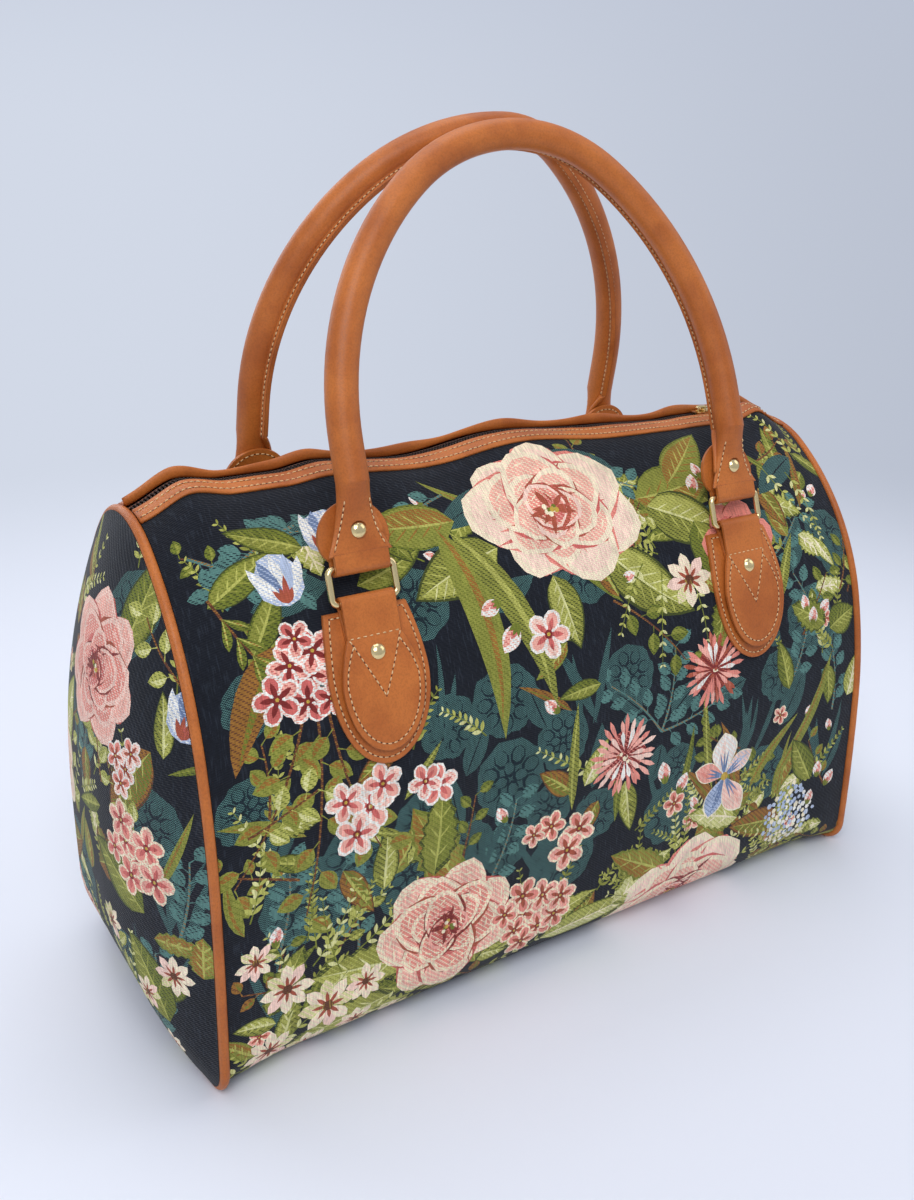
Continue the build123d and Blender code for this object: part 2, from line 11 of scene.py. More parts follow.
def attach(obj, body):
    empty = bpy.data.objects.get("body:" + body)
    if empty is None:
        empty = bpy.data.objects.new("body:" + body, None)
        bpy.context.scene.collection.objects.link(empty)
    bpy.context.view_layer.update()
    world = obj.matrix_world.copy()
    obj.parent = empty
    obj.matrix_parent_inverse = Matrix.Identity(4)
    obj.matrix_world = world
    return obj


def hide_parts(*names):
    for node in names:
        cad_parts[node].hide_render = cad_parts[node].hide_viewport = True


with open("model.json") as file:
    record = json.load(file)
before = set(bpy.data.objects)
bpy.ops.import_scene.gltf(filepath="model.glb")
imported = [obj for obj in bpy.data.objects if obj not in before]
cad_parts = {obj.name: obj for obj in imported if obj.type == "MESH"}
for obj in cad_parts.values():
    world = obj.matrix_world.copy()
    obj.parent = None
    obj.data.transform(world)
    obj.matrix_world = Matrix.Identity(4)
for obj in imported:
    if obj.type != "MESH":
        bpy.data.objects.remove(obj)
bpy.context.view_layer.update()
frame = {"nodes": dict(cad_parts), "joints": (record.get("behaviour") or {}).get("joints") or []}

# Sizes are in millimetres until a piece is made, and every piece is made in metres
MM = 0.001

# The body, with the same outline as the CAD model
BAG_LENGTH = 448.0
HALF_LENGTH = BAG_LENGTH / 2
END_HALF_DEPTH = 102.0
END_HEIGHT = 290.0
END_CORNER = 16.0
MIDDLE_SWELL = 3.0
MIDDLE_RISE = 10.0
MIDDLE_CORNER = 38.0
WIDEST_HEIGHT = 115.0
SHOULDER_HEIGHT = 186.0
SWELL_RUN = 48.0
END_BULGE = 30.5
PIPING_RADIUS = 2.6
TURNS = (86.0, 4.0, 12.0, 43.0, 35.0)
PANEL_REACH = HALF_LENGTH - PIPING_RADIUS - 0.2
END_RIM = HALF_LENGTH + PIPING_RADIUS + 0.2


def sine(degrees):
    return math.sin(math.radians(degrees))


def cosine(degrees):
    return math.cos(math.radians(degrees))


def outline_arcs(share):
    """Arcs of the half outline as (radius, turn), with its flat and base level"""
    half_depth = END_HALF_DEPTH + MIDDLE_SWELL * share
    base = PIPING_RADIUS * (1 - share)
    top = END_HEIGHT + MIDDLE_RISE * share
    corner = END_CORNER + (MIDDLE_CORNER - END_CORNER) * share
    lift = base + corner * (1 - cosine(TURNS[0]))
    lower = (WIDEST_HEIGHT - lift) / cosine(TURNS[0])
    upper = (SHOULDER_HEIGHT - WIDEST_HEIGHT) / sine(TURNS[2])
    start = 90 + TURNS[2]
    turned = start + TURNS[3]
    rise = top - SHOULDER_HEIGHT
    reach = half_depth - upper * (1 - cosine(TURNS[2]))
    a, b = cosine(start) - cosine(turned), cosine(turned) + 1
    c, d = sine(start) - sine(turned), sine(turned)
    shoulder = (rise * d - b * reach) / (a * d - b * c)
    crown = (a * reach - c * rise) / (a * d - b * c)
    flat = half_depth - corner * sine(TURNS[0]) - lower * (1 - sine(TURNS[0]))
    return list(zip((corner, lower, upper, shoulder, crown), TURNS)), flat, base


def sample_outline(share, count):
    """Evenly spaced points (depth, height) from the middle of the base to the ridge, and the length"""
    arcs, flat, base = outline_arcs(share)
    lengths = [flat] + [radius * math.radians(turn) for radius, turn in arcs]
    total = sum(lengths)
    points = []
    for i in range(count):
        run = total * i / (count - 1)
        depth, height, angle = min(run, flat), base, 0.0
        run -= flat
        for (radius, turn), length in zip(arcs, lengths[1:]):
            if run <= 0:
                break
            step = min(run / length, 1.0) * turn
            depth += radius * (sine(angle + step) - sine(angle))
            height += radius * (cosine(angle) - cosine(angle + step))
            angle += step
            run -= length
        points.append((depth, height))
    return points, total


# Table of the outline from the piping to the middle, read by interpolation
SHARE_STEPS = 25
RUN_STEPS = 361
TABLE = np.array([sample_outline(i / (SHARE_STEPS - 1), RUN_STEPS)[0] for i in range(SHARE_STEPS)])
WALL_LENGTH = sample_outline(1.0, 2)[1]


def unit(vectors):
    return vectors / np.maximum(np.linalg.norm(vectors, axis=-1, keepdims=True), 1e-9)


def share_at(x):
    place = np.clip((HALF_LENGTH - np.abs(x)) / SWELL_RUN, 0, 1)
    return 1 - (1 - place) ** 2


def outline_point(x, run):
    """Depth and height at x, run being 0 at the middle of the base and 1 at the ridge"""
    s = share_at(x) * (SHARE_STEPS - 1)
    r = np.clip(run, 0, 1) * (RUN_STEPS - 1)
    s0 = np.clip(np.floor(s).astype(int), 0, SHARE_STEPS - 2)
    r0 = np.clip(np.floor(r).astype(int), 0, RUN_STEPS - 2)
    fs, fr = (s - s0)[..., None], (r - r0)[..., None]
    near = TABLE[s0, r0] * (1 - fr) + TABLE[s0, r0 + 1] * fr
    far = TABLE[s0 + 1, r0] * (1 - fr) + TABLE[s0 + 1, r0 + 1] * fr
    return near * (1 - fs) + far * fs


def run_at_depth(x, depth):
    """Run at which the upper half of the outline at x comes in to this depth"""
    runs = np.linspace(0.6, 1, 161)
    found = []
    for one_x, one_depth in np.broadcast(x, depth):
        depths = outline_point(np.full(161, one_x), runs)[:, 0]
        found.append(np.interp(-one_depth, -depths, runs))
    return np.array(found)


def wall(x, run, side, lift=0.0):
    """Points on the wall in millimetres, side -1 for the front and 1 for the back"""
    x, run = np.asarray(x, float), np.asarray(run, float)

    def at(px, pr):
        flat = outline_point(px, pr)
        return np.stack([px, side * flat[..., 0], flat[..., 1]], -1)

    middle = at(x, run)
    along = at(x + 1, run) - at(x - 1, run)
    up = at(x, np.minimum(run + 0.003, 1)) - at(x, np.maximum(run - 0.003, 0))
    normal = unit(np.cross(along, up) * -side)
    return middle + normal * np.asarray(lift)[..., None], normal


# Colours, written as they look on screen and turned into linear light here

def linear(red, green, blue):
    def one(value):
        value /= 255
        return value / 12.92 if value <= 0.04045 else ((value + 0.055) / 1.055) ** 2.4
    return one(red), one(green), one(blue)


GROUND = linear(19, 23, 32)
GROUND_LIGHT = linear(40, 46, 56)
TEAL = linear(84, 124, 118)
TEAL_DARK = linear(22, 38, 46)
OLIVE = linear(112, 120, 44)
OLIVE_DARK = linear(66, 74, 32)
MOSS = linear(140, 142, 62)
LIME = linear(178, 178, 92)
PALE_GREEN = linear(214, 212, 150)
OCHRE = linear(150, 104, 46)
BROWN = linear(98, 58, 40)
WINE = linear(128, 46, 44)
BRICK = linear(168, 84, 62)
ROSE = linear(206, 104, 98)
SALMON = linear(228, 140, 126)
PINK = linear(238, 172, 156)
BLUSH = linear(244, 208, 192)
CREAM = linear(240, 228, 196)
WHITE = linear(238, 236, 228)
SKY = linear(176, 190, 216)
STEEL_BLUE = linear(108, 128, 164)
YELLOW = linear(196, 164, 70)

WARM = (WINE, BRICK, SALMON, PINK, CREAM)

# How two threads share a patch of cloth: mostly the first, in satin lines, or as a fine check
PLAIN, SATIN, CHECK = 0.0, 0.5, 1.0
SMALLEST, CLOSEST = 0.15, 0.02


class Pattern:
    """Flat shapes in millimetres, drawn from the bottom up as complex numbers"""

    def __init__(self, seed):
        self.random = random.Random(seed)
        self.shapes = []

    def add(self, points, first, second=None, weave=SATIN):
        """Adds a shape, turned to run anticlockwise, with its two threads"""
        points = np.asarray(points)
        points = points[np.abs(points - np.roll(points, 1)) > CLOSEST]
        if len(points) < 3:
            return
        area = (points.conj() * np.roll(points, -1)).imag.sum() / 2
        if abs(area) > SMALLEST:
            self.shapes.append((points if area > 0 else points[::-1], first, second or first, weave))

    def vary(self, low, high):
        return self.random.uniform(low, high)


def turned(angle):
    """Step of one along this heading in degrees"""
    return complex(cosine(angle), sine(angle))


def degrees(step):
    """Heading of a step in degrees"""
    return math.degrees(np.angle(step))


def spine(start, angle, length, bend, count):
    """Points along a line that bends by so many degrees, and the direction at each"""
    headings = angle + bend * (np.arange(count) / max(count - 1, 1) - 0.5)
    steps = np.exp(1j * np.radians(headings)) * length / max(count - 1, 1)
    points = start + np.concatenate([[0], np.cumsum(steps[:-1])])
    return points, np.exp(1j * np.radians(headings))


def blade(start, angle, length, width, bend=0.0, fullest=0.45, count=7, side=0):
    """Outline of a leaf or blade. side 1 or -1 gives only that half."""
    points, headings = spine(start, angle, length, bend, count)
    share = np.linspace(0, 1, count)
    power = math.log(0.5) / math.log(fullest)
    half = width / 2 * np.sin(np.pi * share**power) ** 0.85
    half[0] = half[-1] = 0
    left = points + 1j * headings * half
    right = points - 1j * headings * half
    if side > 0:
        return np.concatenate([left, points[-2:0:-1]])
    if side < 0:
        return np.concatenate([points, right[-2:0:-1]])
    return np.concatenate([left, right[-2:0:-1]])


def strip(points, width, taper=0.4):
    """Thin band along points"""
    points = np.asarray(points)
    headings = np.gradient(points)
    headings /= np.abs(headings) + 1e-9
    half = width / 2 * np.linspace(1, taper, len(points))
    return np.concatenate([points + 1j * headings * half, (points - 1j * headings * half)[::-1]])


def rounded(centre, radius, count=9, wobble=0.0, squash=1.0, angle=0.0, rng=None, lobes=0, depth=0.0):
    """Closed blob, with lobes round its edge if it has any"""
    turns = np.linspace(0, 2 * np.pi, count, endpoint=False)
    size = np.ones(count)
    if rng:
        size += np.array([rng.uniform(-wobble, wobble) for _ in range(count)])
    if lobes:
        size += depth * np.abs(np.cos(turns * lobes / 2))
    shape = size * np.cos(turns) + 1j * squash * size * np.sin(turns)
    return centre + radius * shape * turned(angle)


GREENS = (
    (OLIVE_DARK, OLIVE, MOSS, LIME),
    (OLIVE_DARK, MOSS, LIME, PALE_GREEN),
    (OLIVE, MOSS, OCHRE, LIME),
    (BROWN, OCHRE, OLIVE, LIME),
    (OLIVE, LIME, PALE_GREEN, CREAM),
)


def leaf(p, at, angle, length, width, bend=0.0, greens=None, veins=5):
    """Two toned leaf with a rib and veins"""
    dark, base, light, rib = greens or p.random.choice(GREENS)
    p.add(blade(at, angle, length * 1.03, width * 1.1, bend, 0.4, 9), dark, OLIVE_DARK)
    p.add(blade(at, angle, length, width, bend, 0.4, 9), base, dark)
    lit = p.random.choice((-1, 1))
    p.add(blade(at, angle, length * 0.97, width * 0.86, bend, 0.4, 9, side=lit), light, base)
    points, headings = spine(at, angle, length, bend, veins + 3)
    for i in range(1, veins + 1):
        reach = width * 0.42 * math.sin(math.pi * (i + 0.6) / (veins + 2.4))
        for side in (-1, 1):
            heading = degrees(headings[i]) + side * 42
            colour = rib if side == lit else light
            p.add(blade(points[i], heading, reach * 1.25, 1.0, 0, 0.4, 4), colour, base, PLAIN)
    p.add(blade(at, angle, length * 0.96, 1.5, bend, 0.3, 7), rib, light, PLAIN)


def lobed_leaf(p, at, angle, length, width):
    """Broad leaf with a toothed edge"""
    dark, base, light, rib = p.random.choice(GREENS)
    count = 15
    points, headings = spine(at, angle, length, 0, count)
    share = np.linspace(0, 1, count)
    half = width / 2 * np.sin(np.pi * share**0.75) ** 0.8
    teeth = 1 - 0.22 * (np.arange(count) % 2)
    half *= teeth
    half[0] = half[-1] = 0
    outline = np.concatenate([points + 1j * headings * half, (points - 1j * headings * half)[-2:0:-1]])
    p.add(outline, dark, base)
    inner = (outline - points[count // 2]) * 0.86 + points[count // 2]
    p.add(inner, base, light)
    lit = np.concatenate([points, (points + 0.8j * headings * half)[-2:0:-1]])
    p.add(lit, light, base)
    for i in (3, 6, 9):
        for side in (-1, 1):
            p.add(blade(points[i], angle + side * 40, width * 0.36, 1.2, 0, 0.4, 4), rib, light, PLAIN)
    p.add(blade(at, angle, length * 0.95, 1.6, 0, 0.3, 5), rib, light, PLAIN)


def grass(p, at, angle, length, width, bend=12.0):
    """Long blade with one side lit"""
    dark, base, light, _ = p.random.choice(GREENS[:4])
    p.add(blade(at, angle, length, width, bend, 0.4, 8), base, dark)
    p.add(blade(at, angle, length * 0.93, width * 0.45, bend, 0.4, 8, side=1), light, base)


def sprig(p, at, angle, length, bend=20.0, colours=(LIME, PALE_GREEN), leaflet=4.2, pairs=8):
    """Ferny stem with small leaflets"""
    points, headings = spine(at, angle, length, bend, pairs + 1)
    p.add(strip(points, 0.9), OLIVE, MOSS, PLAIN)
    for i in range(1, pairs + 1):
        size = leaflet * (1.1 - 0.6 * i / pairs)
        for side in (-1, 1):
            heading = degrees(headings[i]) + side * p.vary(35, 60)
            colour = p.random.choice(colours)
            p.add(blade(points[i], heading, size * 1.5, size * 0.62, 0, 0.5, 5), colour, colours[0], PLAIN)


def branch(p, at, angle, length, bend, leaves=7, size=7.0, greens=None):
    """Arching stem with round leaves on stalks"""
    greens = greens or p.random.choice(GREENS[:4])
    points, headings = spine(at, angle, length, bend, leaves * 2 + 1)
    p.add(strip(points, 1.6, 0.5), BROWN if greens[0] != TEAL_DARK else TEAL, OCHRE)
    for i in range(leaves):
        k = 2 * i + 2
        side = 1 if i % 2 else -1
        heading = degrees(headings[k]) + side * p.vary(35, 65)
        stalk = points[k] + turned(heading) * size * 0.45
        p.add(strip([points[k], stalk], 0.8), greens[1], greens[0], PLAIN)
        p.add(blade(stalk, heading, size * 1.5, size, 0, 0.45, 7), greens[1], greens[0])
        lit = blade(stalk, heading, size * 1.3, size * 0.7, 0, 0.45, 7, side=side)
        p.add(lit, greens[2], greens[1])


def peony(p, at, radius, angle=0.0, squash=0.82, tones=(WINE, ROSE, SALMON, PINK, BLUSH, CREAM)):
    """Full flower: rings of cupped petals, darker towards the heart"""
    deep, dark = tones[:2]
    tilt = turned(angle)

    def spot(ring, heading):
        flat = complex(math.cos(heading), squash * math.sin(heading)) * ring
        return at + flat * tilt

    petals = ((0.6, 7, 0.5), (0.42, 6, 0.43), (0.25, 5, 0.34), (0.11, 3, 0.25))
    for level, (ring, count, size) in enumerate(petals):
        start = p.vary(0, 6)
        order = list(range(count))
        p.random.shuffle(order)
        for i in order:
            heading = start + 2 * math.pi * (i + p.vary(-0.2, 0.2)) / count
            petal(p, at, spot(radius * ring, heading), radius * size * p.vary(0.88, 1.12), level, tones)
    for _ in range(9):
        heading = p.vary(0, 6.28)
        foot = spot(radius * p.vary(0.02, 0.1), heading)
        stamen = blade(foot, degrees(foot - at), radius * p.vary(0.14, 0.3), radius * 0.07, 0, 0.4, 5)
        p.add(stamen, deep, dark, PLAIN)
    for _ in range(8):
        dot = spot(radius * p.vary(0, 0.13), p.vary(0, 6.28))
        p.add(rounded(dot, radius * 0.035, 6), p.random.choice((CREAM, OLIVE, YELLOW)), None, PLAIN)


def petal(p, at, centre, wide, level, tones):
    """Cupped petal of the flower at this place, dark behind, pale at its rim and stroked out of its foot"""
    deep, dark, mid, light, pale, edge = tones
    heading = degrees(centre - at)
    out = turned(heading)
    behind = rounded(centre - 0.12 * wide * out, wide * 1.08, 12, 0.04, 0.9, heading, p.random, 3, 0.04)
    p.add(behind, (mid, dark, deep, deep)[level], dark)
    rim = rounded(centre, wide, 14, 0.05, 0.84, heading, p.random, 3, 0.08)
    p.add(rim, edge if level < 3 else pale, pale)
    p.add((rim - centre) * 0.86 + centre - 0.05 * wide * out, (pale, light, light, mid)[level], edge)
    heart = rounded(centre - 0.34 * wide * out, wide * 0.56, 10, 0.06, 0.95, heading, p.random, 3, 0.1)
    p.add(heart, (light, mid, mid, dark)[level], light)
    for k in range(6):
        foot = centre + wide * (p.vary(-0.72, -0.5) + (k - 2.5) * 0.19j) * out
        tone = ((mid, dark) if level == 0 or k % 2 == 0 else (dark, deep))[k % 2]
        length = wide * p.vary(0.55, 1.1)
        stroke = blade(foot, heading + (k - 2.5) * 7, length, max(wide * 0.12, 0.9), 0, 0.35, 5)
        p.add(stroke, tone, light, PLAIN)
    for k in range(2):
        tip = centre + wide * p.vary(0.5, 0.75) * turned(heading + (k - 0.5) * 40)
        p.add(blade(tip, heading + 90 + p.vary(-30, 30), wide * 0.4, 1.0, 20, 0.5, 5), edge, pale, PLAIN)


def fringed(p, at, radius, tones=(WINE, SALMON, PINK, BLUSH, WHITE)):
    """Round bloom with a fringe of narrow notched petals"""
    deep, dark, mid, light, pale = tones
    p.add(rounded(at, radius * 0.62, 12, 0.1, 1, 0, p.random), deep, dark)
    fringes = ((26, 0.32, 0.66, (dark, mid, light)), (15, 0.12, 0.56, (light, pale, mid)))
    for count, ring, length, tones_here in fringes:
        for i in range(count):
            heading = 360 * (i + p.vary(-0.3, 0.3)) / count
            start = at + turned(heading) * radius * ring
            reach = radius * length * p.vary(0.85, 1.12)
            tone = p.random.choice(tones_here)
            p.add(blade(start, heading, reach, radius * 0.13, p.vary(-14, 14), 0.72, 6), tone, mid, PLAIN)
    for i in range(10):
        spot_at = at + turned(p.vary(0, 360)) * radius * p.vary(0, 0.2)
        p.add(rounded(spot_at, radius * 0.055, 5), p.random.choice((deep, CREAM, BRICK)), None, PLAIN)


def blossom(p, at, radius, tones=(WINE, ROSE, PINK, BLUSH, CREAM)):
    """Small flower with five round petals, a pale edge and a dark eye"""
    deep, dark, mid, light, edge = tones
    start = p.vary(0, 360)
    for i in range(5):
        heading = start + 72 * i
        centre = at + turned(heading) * radius * 0.58
        p.add(rounded(centre, radius * 0.47, 9, 0.06, 0.85, heading, p.random), edge, light)
        inner = rounded(centre, radius * 0.35, 8, 0.06, 0.8, heading, p.random)
        p.add(inner, p.random.choice((mid, light)), mid)
        p.add(blade(at, heading, radius * 0.72, radius * 0.24, 0, 0.5, 5), dark, deep, PLAIN)
    p.add(rounded(at, radius * 0.2, 7), deep, dark, PLAIN)
    p.add(rounded(at, radius * 0.09, 5), YELLOW, CREAM, PLAIN)


def daisy(p, at, radius):
    """Open flower with eight pointed petals"""
    for i in range(8):
        heading = 45 * (i + p.vary(-0.15, 0.15))
        tone = p.random.choice((CREAM, CREAM, PALE_GREEN, BLUSH))
        p.add(blade(at, heading, radius, radius * 0.46, 0, 0.62, 6), tone, BLUSH)
        p.add(blade(at, heading, radius * 0.55, radius * 0.14, 0, 0.5, 4), BRICK, BROWN, PLAIN)
    p.add(rounded(at, radius * 0.2, 6), BROWN, YELLOW, PLAIN)


def cluster(p, at, spread, count, radius, *tones):
    """Bunch of small flowers"""
    for i in range(count):
        heading = i * 137.5 + p.vary(-20, 20)
        reach = spread * math.sqrt((i + 0.3) / count)
        blossom(p, at + turned(heading) * reach, radius * p.vary(0.82, 1.15), *tones)


def bud(p, at, angle, length):
    """Closed flower in its green cup"""
    dark, mid, light = ROSE, PINK, WHITE
    p.add(blade(at, angle, length, length * 0.62, 0, 0.5, 9), light, mid)
    p.add(blade(at, angle - 10, length * 0.9, length * 0.34, -14, 0.45, 7), mid, dark)
    p.add(blade(at, angle + 12, length * 0.86, length * 0.26, 14, 0.45, 7), light, mid)
    p.add(blade(at, angle, length * 0.55, length * 0.3, 0, 0.35, 6), dark, mid)
    for side in (-1, 0, 1):
        p.add(blade(at, angle + 28 * side, length * 0.42, length * 0.16, 0, 0.4, 5), OLIVE, MOSS, PLAIN)


def tulip(p, at, angle, size):
    """Plump striped bud, pale with a warm base"""
    shadow, mid, light = STEEL_BLUE, SKY, WHITE
    centre = at + turned(angle) * size * 0.5
    p.add(rounded(centre, size * 0.56, 12, 0.05, 0.88, angle, p.random), mid, light)
    for k in range(5):
        heading = angle + (k - 2) * 15
        tone = (light, mid, light, shadow, light)[k]
        p.add(blade(at, heading, size * 1.05, size * 0.26, (2 - k) * 10, 0.55, 7), tone, mid)
    for k in range(4):
        flame = blade(at, angle + (k - 1.5) * 22, size * p.vary(0.35, 0.6), size * 0.14, 0, 0.4, 5)
        p.add(flame, BRICK, ROSE, PLAIN)


def iris(p, at, size, angle=90.0):
    """Pale flag flower with upright and falling petals"""
    petals = ((0, 1.0, 0.62, WHITE, BLUSH), (62, 0.86, 0.42, PINK, SALMON), (-66, 0.8, 0.4, BLUSH, SKY),
              (150, 0.92, 0.5, SKY, STEEL_BLUE), (205, 1.0, 0.54, BLUSH, PINK))
    for lean, length, width, first, second in petals:
        heading, reach, wide = angle + lean, size * length, size * width
        p.add(blade(at, heading, reach * 1.04, wide * 1.1, lean * 0.1, 0.6, 10), CREAM, WHITE)
        p.add(blade(at, heading, reach, wide, lean * 0.1, 0.6, 10), first, second)
        p.add(blade(at, heading, reach * 0.9, wide * 0.5, 8, 0.55, 8, side=1), second, first)
        for k in (-1, 0, 1):
            p.add(blade(at, heading + k * 11, reach * 0.62, size * 0.05, 0, 0.4, 5), STEEL_BLUE, SKY, PLAIN)
    p.add(rounded(at, size * 0.1, 7), YELLOW, OCHRE, PLAIN)


def lace(p, at, radius):
    """Dome of tiny pale florets"""
    count = 90
    for i in range(count):
        reach = radius * math.sqrt((i + 0.5) / count)
        spot_at = at + turned(i * 137.5) * reach * p.vary(0.92, 1.05)
        floret = rounded(spot_at, radius * p.vary(0.07, 0.105), 6, 0.2, 1, 0, p.random)
        p.add(floret, p.random.choice((WHITE, CREAM, SKY, SKY)), WHITE, PLAIN)
    for i in range(22):
        spot_at = at + turned(p.vary(0, 360)) * radius * p.vary(0.1, 0.95)
        p.add(rounded(spot_at, radius * 0.05, 5), STEEL_BLUE, None, PLAIN)


def pods(p, at, angle, length, count=6):
    """Stem with paired narrow pods"""
    points, headings = spine(at, angle, length, 18, count + 1)
    p.add(strip(points, 1.5), BROWN, OCHRE)
    for i in range(1, count + 1):
        for side in (-1, 1):
            heading = degrees(headings[i]) + side * p.vary(18, 38)
            p.add(blade(points[i], heading, 17, 5, side * 20, 0.6, 7), OLIVE, OLIVE_DARK)
            p.add(blade(points[i], heading, 15, 2.2, side * 20, 0.6, 6, side=side), LIME, OCHRE)


# Shadow planting behind the bright flowers, all in one dull teal

def shadow_bloom(p, at, radius):
    """Lobed bloom with two rings of petals"""
    layers = ((0, 1, (TEAL_DARK, GROUND, PLAIN)), (0.04, 0.8, (TEAL, TEAL_DARK, CHECK)))
    p.add(rounded(at, radius, 28, 0.03, 0.94, p.vary(0, 90), p.random, 9, 0.1), TEAL, TEAL_DARK, CHECK)
    for ring, petals, size in ((0.62, 8, 0.28), (0.26, 4, 0.22)):
        start = p.vary(0, 360)
        for k in range(petals):
            heading = start + 360 * k / petals
            for shift, share, tones in layers:
                centre = at + turned(heading) * radius * (ring + shift)
                p.add(rounded(centre, radius * size * share, 8, 0.05, 0.8, heading, p.random), *tones)


def shadow_leaf(p, at, angle, length, width, bend=0.0):
    """Leaf with a dark rib"""
    p.add(blade(at, angle, length, width, bend, 0.42, 9), TEAL, TEAL_DARK, CHECK)
    p.add(blade(at, angle, length * 0.9, 0.9, bend, 0.3, 6), GROUND, TEAL_DARK, PLAIN)


def shadow_spray(p, at, angle, length, bend=25.0):
    """Arching stem with round leaves"""
    branch(p, at, angle, length, bend, 9, 8.0, (TEAL_DARK, TEAL, TEAL, TEAL))


def shadow_grass(p, at, count, length):
    """Tuft of blades that spreads upwards"""
    for _ in range(count):
        p.add(blade(at + p.vary(-8, 8), 90 + p.vary(-28, 28), length * p.vary(0.6, 1.1), p.vary(3, 6),
                    p.vary(-24, 24), 0.45, 7), TEAL, TEAL_DARK, CHECK)


def undergrowth(p, left, right, low, high, count, bright=0.35):
    """Small plants that fill the ground, with bright as the share of pale sprigs"""
    for _ in range(count):
        at = complex(p.vary(left, right), p.vary(low, high))
        kind, angle = p.random.random(), p.vary(20, 160)
        if kind < 0.28:
            leaf(p, at, p.vary(0, 360), p.vary(20, 36), p.vary(9, 15), p.vary(-20, 20), None, 4)
        elif kind < 0.42:
            lobed_leaf(p, at, p.vary(0, 360), p.vary(22, 36), p.vary(13, 19))
        elif kind < 0.62:
            length, bend = p.vary(26, 46), p.vary(-25, 25)
            sprig(p, at, angle, length, bend, (LIME, MOSS) if p.vary(0, 1) > bright else (LIME, PALE_GREEN))
        elif kind < 0.74:
            branch(p, at, angle, p.vary(30, 50), p.vary(-30, 30), 5, p.vary(5, 8))
        elif kind < 0.86:
            grass(p, at, angle, p.vary(30, 55), p.vary(4, 8), p.vary(-25, 25))
        elif kind < 0.94:
            bud(p, at, angle, p.vary(8, 13))
        else:
            blossom(p, at, p.vary(6, 9), WARM)


def each(p, draw, places, *same):
    """Draws a motif at each place, given as across, up and its own values, then the values all share"""
    for x, y, *own in places:
        draw(p, complex(x, y), *own, *same)


def left_end_planting(p):
    """Planting of the left end: across runs to the bag's front"""
    each(p, shadow_bloom, ((-60, 200, 22), (40, 250, 20), (70, 150, 20), (-20, 90, 24), (40, 60, 20),
                           (-70, 60, 18)))
    for x, y in ((-40, 40), (60, 30), (0, 150), (-80, 120), (84, 90)):
        shadow_grass(p, complex(x, y), 5, 56)
        shadow_spray(p, complex(x, y), 80, 50)
    undergrowth(p, -98, 98, 8, 280, 66)
    each(p, leaf, (
            (30, 200, 160, 56, 28), (-10, 190, 20, 56, 26), (40, 232, 80, 50, 24), (70, 190, 240, 54, 26),
            (20, 110, 30, 56, 24), (64, 100, 150, 50, 24), (-50, 150, 60, 56, 26), (-60, 90, 20, 50, 24),
            (74, 40, 120, 50, 24)), 15)
    for x, y, angle in (
            (56, 140, 100), (20, 160, 70), (80, 220, 110), (-30, 120, 60), (40, 30, 80), (-80, 180, 70)):
        sprig(p, complex(x, y), angle, 54, 20)
        branch(p, complex(x + 10, y), angle + 30, 50, -20, 6, 8, GREENS[4])
    peony(p, complex(16, 216), 36, 10, 0.95, (WINE, BRICK, ROSE, SALMON, PINK, BLUSH))
    cluster(p, complex(58, 130), 20, 7, 11, (WINE, ROSE, SALMON, PINK, CREAM))
    cluster(p, complex(50, 176), 12, 4, 9, (WINE, BRICK, SALMON, BLUSH, WHITE))
    cluster(p, complex(-46, 60), 18, 6, 11, WARM)
    each(p, tulip, ((86, 200, 80), (-60, 230, 100)), 24)
    peony(p, complex(-54, 140), 30, 40, 0.9)
    each(p, daisy, ((80, 70, 12), (60, 52, 10), (30, 80, 11), (-10, 40, 12), (70, 24, 10)))


